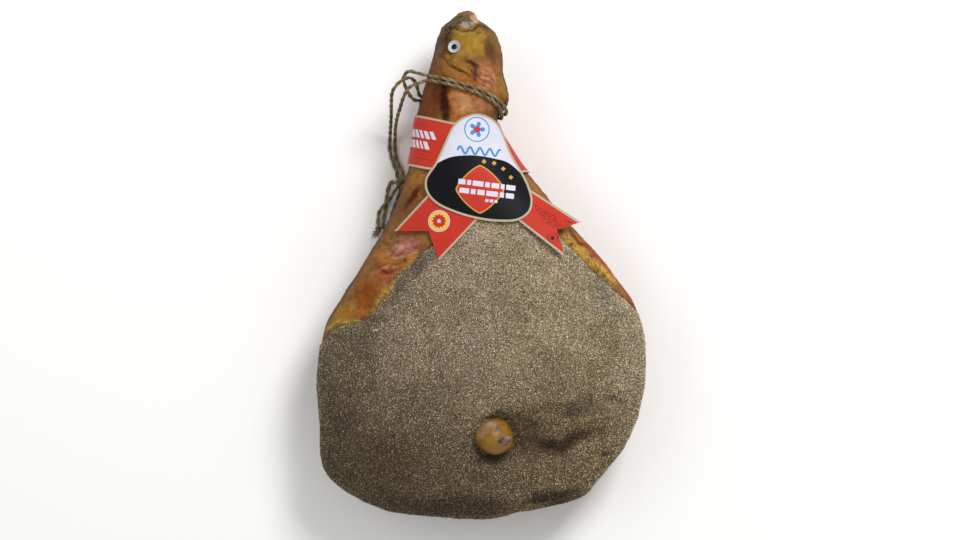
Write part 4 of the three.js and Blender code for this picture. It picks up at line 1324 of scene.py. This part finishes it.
def lathePiece(name, corners, node, material, slot):
    # A closed profile of radius and height, carried round the axis that stands on the skin at the seal.
    profile = roundedProfile(corners)
    x, y, gap = np.array([seal["x"]]), np.array([seal["y"]]), np.array([seal["gap"]])
    spot, normal = legAt(y, topAngle(x, y), gap)
    normal = normal[0]
    side = unit(np.cross([0, 1.0, 0], normal))
    ahead = np.cross(normal, side)
    turn = (np.arange(seal["sides"]) / seal["sides"] * 2 * np.pi)[None, :, None]
    radius, height = profile[:, 0][:, None, None], profile[:, 1][:, None, None]
    points = spot[0] + radius * (np.cos(turn) * side + np.sin(turn) * ahead) + height * normal
    loop = np.concatenate([points, points[:1]])
    faces = gridFaces(*loop.shape[:2], wrap=True, flip=True)
    piece = makePiece(name, loop, [faces], material, slot, weld=True)
    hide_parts(node)


edge, hole = washer["across"] / 2, rivet["across"] / 2 + 0.3
lathePiece("sealWasher", [
    (hole, 0), (edge * 0.8, washer["dish"] * 0.35), (edge, washer["dish"]),
    (edge - washer["thick"] * 0.4, washer["dish"] + washer["thick"] * 0.7),
    (edge * 0.75, washer["dish"] * 0.35 + washer["thick"]), (hole, washer["thick"]),
], "seal_washer", mouldedPlastic, "seal_white")
seat = washer["thick"] + washer["dish"] * 0.35 + 0.3
lathePiece("sealRivet", [
    (rivet["bore"] / 2, 0.1), (rivet["across"] / 2, 0.1), (rivet["across"] / 2, seat),
    (rivet["across"] / 2 + rivet["rim"], seat),
    (rivet["across"] / 2 + rivet["rim"] * 0.6, seat + rivet["stands"]),
    (rivet["bore"] / 2 + rivet["rim"] * 0.4, seat + rivet["stands"]), (rivet["bore"] / 2, seat),
], "seal_rivet", blackenedSteel, "seal_dark")
print("seal is on")


# Label: a printed card band round the shank, its two ribbon tails and the bell over them

card = {
    "thick": 0.8, "over": 0.5, "border": 2.3, "crustStart": 84, "crustBlend": 18,
    "bandRows": 72, "bandColumns": 330, "bellMiddle": (-3, 88), "crest": (-5, 134), "disc": (-42.3, 43.2),
    "red": "#bb3427", "white": "#d0d0dc", "black": "#0c0d11", "blue": "#3f86c8", "gold": "#c79a4a",
    "edge": "#b3a68c", "board": "#b8b2a4", "yellow": "#e3b84a", "ink": "#3a1a18",
}
# stand-off of the card from the leg: y, left, right, top
cardGaps = [
    [-8, 6, 22, 3.2], [10, 5, 22, 2.9], [30, 4, 21, 2.6], [50, 3, 16, 2.3], [68, 2, 8, 2],
    [84, 1.4, 2.4, 1.6], [100, 1.4, 1.6, 1.6], [118, 0.7, 0.8, 0.9], [136, 0.6, 0.6, 0.6],
    [160, 0.6, 0.6, 0.6],
]
bell = [
    (-7, 150), (2, 149), (11, 145), (18, 138), (29, 111), (41, 90), (47, 77), (50, 63), (47, 52), (36, 44),
    (18, 42.5), (-4, 45), (-28, 52), (-46, 61), (-55, 72), (-56, 85), (-46, 101), (-37, 121), (-26, 141),
]
leftTail = [(-53, 70), (-87, 33.5), (-52.5, 33.5), (-42.5, 4), (-2, 47)]
rightTail = [(44, 77), (98, 42.5), (74, 34.5), (81.5, 8), (30, 48)]
bandTop = [(-90, 154), (-66, 149.5), (-31, 141.5), (-8, 138), (8, 140), (17, 143), (45, 149)]
bandBottom = [(-100, 104), (-74, 99), (-54, 94.5), (0, 88), (42, 92), (80, 97)]
divide = [(-60, 88), (-53, 94.5), (-46, 99.4), (-34.5, 105.3), (-13.8, 108.3), (11.8, 105.3), (26.6, 100.9),
          (37.9, 91.5), (46, 82)]

# Coated card, offset printed: flat solid inks, smooth satin gloss, a thin grey-gold line at the edges.
# Each ink is a layer whose field is the depth inside its shape in millimetres.
printedCard, tree, shader, place = startMaterial("offset printed coated card", Roughness=0.5, IOR=1.5)
shader["Specular IOR Level"].default_value = 0.1
layers = [
    ("whiteField", "white"), ("blackField", "black"), ("blueField", "blue"), ("goldField", "gold"),
    ("redField", "red"), ("yellowField", "yellow"), ("inkField", "ink"), ("markField", "white"),
    ("edgeField", "edge"), ("boardField", "board"),
]
tint = inkColour(card["red"])
for field, colour in layers:
    tint = mixNode(tree, rangeNode(tree, fieldNode(tree, field), 0.02, 0.32), tint, card[colour])
paper = noiseNode(tree, place, 45, 4, 0.6)
tint = mixNode(tree, 1.0, tint, rangeNode(tree, paper, 0.3, 0.7, 0.93, 1.05), "MULTIPLY")
tree.links.new(tint, shader["Base Color"])
grain = bumpNode(tree, 0.12, 0.0002, noiseNode(tree, place, 900, 2))
tree.links.new(bumpNode(tree, 0.35, 0.0012, paper, grain), shader["Normal"])


def cardRows(y, lift):
    # The leg's section grown by the card's stand-off, which includes the crust where there is one.
    onCrust = 1 - blend(y, card["crustStart"], card["crustStart"] + card["crustBlend"])
    over = onCrust * crust["thickness"] + lift
    rows = np.concatenate([y[..., None], smoothRows(sections, y)], axis=-1)
    gaps = smoothRows(cardGaps, y) + over[..., None]
    rows[..., 1] -= gaps[..., 0]
    rows[..., 2] += gaps[..., 1]
    rows[..., 3] += gaps[..., 2]
    rows[..., 4] -= over + crust["clearance"]
    return rows


def cardHeight(x, y, lift):
    # z of the upper half of the grown section over (x, y).
    rows = cardRows(y, lift)
    middle, half = (rows[..., 1] + rows[..., 2]) / 2, (rows[..., 2] - rows[..., 1]) / 2
    power = leg["squareness"]
    rise = (1 - np.clip(np.abs(x - middle) / half, 0, 0.999) ** power) ** (1 / power)
    return rows[..., 5] + (rows[..., 3] - rows[..., 5]) * rise


def inkBars(x, y, start, end, high, widths, gap, slant=0.0):
    # Blocks side by side along a line: the lesser of half the width and half the height less the distance.
    start, end = np.array(start, float), np.array(end, float)
    way = unit(end - start)
    across = (y - start[1]) * way[0] - (x - start[0]) * way[1]
    along = (x - start[0]) * way[0] + (y - start[1]) * way[1] - slant * across
    field = np.full(np.shape(x), -9.0)
    at = 0.0
    for width in widths:
        block = np.minimum(width / 2 - np.abs(along - at - width / 2), high / 2 - np.abs(across))
        field = np.maximum(field, block)
        at += width + gap
    return field


def inkStroke(x, y, line, width):  # half the width less the distance to the line
    return width / 2 - strokeDistance(x, y, line)[0]


def bellInks(x, y, rim):
    # Each shape's field is its half size less the distance from its middle line: a ring with a flower of
    # |cos 2.5 a| petals, a wavy line, a gem |x|^1.3 + |y|^1.3, small ones up the curve, and rows of bars.
    level = smoothRows(np.array(divide, float), x)[..., 0]
    (atX, atY), gemX, gemY, gemSize = card["crest"], -2, 74.5, 23
    fan = np.arctan2(y - atY, x - atX)
    radius = np.hypot(x - atX, y - atY)
    petals = 8.2 * np.abs(np.cos(2.5 * fan)) ** 0.6 - radius
    wave = [(-24 + i * 1.4, 114 - 0.12 * i + 3.6 * np.sin(i * 0.9)) for i in range(31)]
    gem = (1 - (np.abs(x - gemX) / gemSize) ** 1.3 - (np.abs(y - gemY) / gemSize) ** 1.3) * 13
    smallGems = [2.6 - np.abs(x - gx) - np.abs(y - gy)
                 for gx, gy in ((2, 102), (12, 100.5), (21, 95), (28.5, 86.5))]
    rowsOfBars = [
        ((-23.5, 82.5), (33, 75.5), 5.4, (7.5, 4.2, 11, 5, 8, 4, 9.5), 1.3),
        ((-22.5, 73.8), (32, 67.4), 5.4, (10, 5, 7.5, 12, 4.5, 8.5), 1.4),
        ((3, 63.6), (18, 61.9), 3.2, (3.6, 3.6, 3.2), 1.0),
    ]
    return {
        "whiteField": np.full(x.shape, 1.0), "blackField": level - y,
        "blueField": np.maximum(np.maximum(0.75 - np.abs(radius - 12), petals), inkStroke(x, y, wave, 2.4)),
        "goldField": np.maximum(gem + 1.0, np.max(smallGems, axis=0)),
        "redField": np.maximum(gem, 3.4 - radius),
        "markField": np.max([inkBars(x, y, *bars) for bars in rowsOfBars], axis=0),
        "edgeField": card["border"] - rim,
    }


def leftInks(x, y, rim):
    # A sun: a gold ring with twelve teeth, a thin white ring round it and a flower of six petals inside.
    atX, atY = card["disc"]
    disc = np.hypot(x - atX, y - atY)
    fan = np.arctan2(y - atY, x - atX)
    return {
        "markField": np.maximum(0.6 - np.abs(disc - 10.3), 2.6 * np.abs(np.cos(3 * fan)) - disc),
        "yellowField": np.minimum(9.8 - disc, disc - 6.2 - 0.8 * np.cos(12 * fan)),
        "edgeField": card["border"] - rim,
    }


def rightInks(x, y, rim):
    # Five rows of short dark bars that step down the tail, a ring with a dot and one more short row.
    lines = [inkBars(x, y, (49 + 3.4 * i, 60.5 - 4.6 * i), (80 + 3.4 * i, 43.5 - 4.6 * i), 1.0, widths, 0.9)
             for i, widths in enumerate([(7, 4, 9, 5), (5, 8, 4, 6), (8, 5, 6, 4), (5, 6, 7), (6, 4, 5)])]
    away = np.hypot(x - 69.5, y - 26.5)
    ring = np.maximum(0.5 - np.abs(away - 4.8), 2.2 - away)
    mark = inkBars(x, y, (82, 44), (89, 41), 1.6, (2, 2, 2), 0.8)
    return {"inkField": np.max([*lines, ring, mark], axis=0), "edgeField": card["border"] - rim}


def bandInks(run, share, high, rim):
    # run goes round the shank from the middle of the top to the left, and share up the band. Each row of
    # bars has its start, its level, its height, the bars' widths, their gap and slant.
    rows = {
        "markField": [
            (26, 34, 8, (5, 5.4, 4.6, 6, 7, 4.4, 5, 6.4), 2.0, 0.2),
            (36, 23.5, 8, (6, 3.4, 5, 7, 4.4, 6), 2.0, 0.2),
        ],
        "inkField": [
            (24, 43.4, 0.8, (9, 7, 8, 4, 9, 7), 0.8), (34, 41, 0.8, (6, 4, 8), 0.8),
            (26, 17, 0.8, (5, 8, 6, 9), 0.8), (27, 13.6, 0.8, (15, 12, 6), 0.8),
            (22, 9.6, 0.8, (8, 10, 6, 9, 5), 0.8), (20, 6.4, 0.8, (12, 9, 5, 10, 8), 0.8),
        ],
    }
    fields = {key: np.max([inkBars(run, share * high, (start, level), (start + 1, level), *bars)
                           for start, level, *bars in rows[key]], axis=0) for key in rows}
    return {**fields, "edgeField": card["border"] - rim}


def cardSheet(name, upper, lower, fields, wrap, flip, pole=False):
    # Two grids of one shape, the outer printed and the inner plain, joined by walls round the free sides.
    rows, columns = upper.shape[:2]
    under = rows * columns
    index = np.arange(under).reshape(rows, columns)
    faces = [gridFaces(rows, columns, wrap, flip), gridFaces(rows, columns, wrap, not flip, under)]
    ends = [(index[-1], 1)] if pole else [(index[0], -1), (index[-1], 1)]
    for line, way in ends:
        a, b = (line, np.roll(line, -1)) if wrap else (line[:-1], line[1:])
        wall = np.stack([a, b, b + under, a + under], axis=1)
        faces.append(wall if (way > 0) == flip else wall[:, ::-1])
    if not wrap:
        for line, way in ((index[:, 0], -1), (index[:, -1], 1)):
            wall = np.stack([line[:-1], line[1:], line[1:] + under, line[:-1] + under], axis=1)
            faces.append(wall if (way > 0) != flip else wall[:, ::-1])
    plain = {key: np.concatenate([values.ravel(), values.ravel() * 0 - 1]) for key, values in fields.items()}
    plain["boardField"] = np.concatenate([np.full(under, -1.0), np.full(under, 1.0)])
    piece = makePiece(name, np.concatenate([upper.reshape(-1, 3), lower.reshape(-1, 3)]), faces, printedCard,
                      "label_card", plain, weld=True)
    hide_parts("label_collar")


def planSheet(name, x, y, lift, fields, wrap, flip, pole=False):
    # A sheet seen from above: its upper grid is one card's thickness over its lower one.
    upper = np.stack([x, y, cardHeight(x, y, card["thick"] + lift)], axis=-1)
    lower = np.stack([x, y, cardHeight(x, y, lift)], axis=-1)
    cardSheet(name, upper, lower, fields, wrap, flip, pole)


def bellPiece():
    # Rings from the middle out to the outline, each the outline drawn toward the middle.
    outline = smoothPath(bell, 420, closed=True)
    middle = np.array(card["bellMiddle"])
    share = np.concatenate([[0], np.linspace(0.012, 1, 74)])[:, None, None]
    plan = middle + (outline - middle)[None] * share
    x, y = plan[..., 0], plan[..., 1]
    rim = strokeDistance(x, y, outline[::2], closed=True)[0]
    planSheet("labelBell", x, y, card["over"] + card["thick"], bellInks(x, y, rim), True, True, pole=True)


def tailPiece(name, outline, inks, rows=90, columns=84):
    # From the edge under the bell to the notched end: every column runs straight between the two.
    corners = np.array(outline, float)
    share = np.linspace(0, 1, columns)[None, :, None]
    start = corners[0] * (1 - share) + corners[4] * share
    notch = 0.5  # where the notch is, as a share of the end's width
    end = np.where(share < notch, corners[1] + (corners[2] - corners[1]) * share / notch,
                   corners[2] + (corners[3] - corners[2]) * (share - notch) / (1 - notch))
    down = np.linspace(0, 1, rows)[:, None, None]
    plan = start * (1 - down) + end * down
    x, y = plan[..., 0], plan[..., 1]
    rim = np.minimum(strokeDistance(x, y, corners[[0, 1]])[0], strokeDistance(x, y, corners[[3, 4]])[0])
    turn = np.cross(end[0, 0] - start[0, 0], start[0, -1] - start[0, 0])
    planSheet(name, x, y, 0, inks(x, y, rim), False, turn > 0)


def bandPiece():
    # Round the shank by angle, and between the band's two edges. These are set by x, so x and y are found
    # from each other in turn.
    turns = 8
    rows, columns = card["bandRows"], card["bandColumns"]
    angles = (np.arange(columns) / columns * 2 * np.pi)[None]
    share = np.linspace(0, 1, rows)[:, None]
    top, bottom = np.array(bandTop, float).T, np.array(bandBottom, float).T
    x = np.zeros((rows, columns))
    for _ in range(turns):
        low, high = np.interp(x, *bottom), np.interp(x, *top)
        y = low + (high - low) * share
        x = sectionPoints(cardRows(y, 0), angles)[..., 0]
    upper = sectionPoints(cardRows(y, card["thick"]), angles)
    lower = sectionPoints(cardRows(y, 0), angles)
    rim = np.minimum(y - low, high - y)
    run = np.cumsum(np.linalg.norm(np.diff(upper, axis=1, prepend=upper[:, -1:]), axis=-1), axis=1)
    run = run - run[:, columns // 4][:, None]
    cardSheet("labelBand", upper, lower, bandInks(run, share, high - low, rim), True, True)


bandPiece()
tailPiece("labelTailLeft", leftTail, leftInks)
tailPiece("labelTailRight", rightTail, rightInks)
bellPiece()
print("label is on")
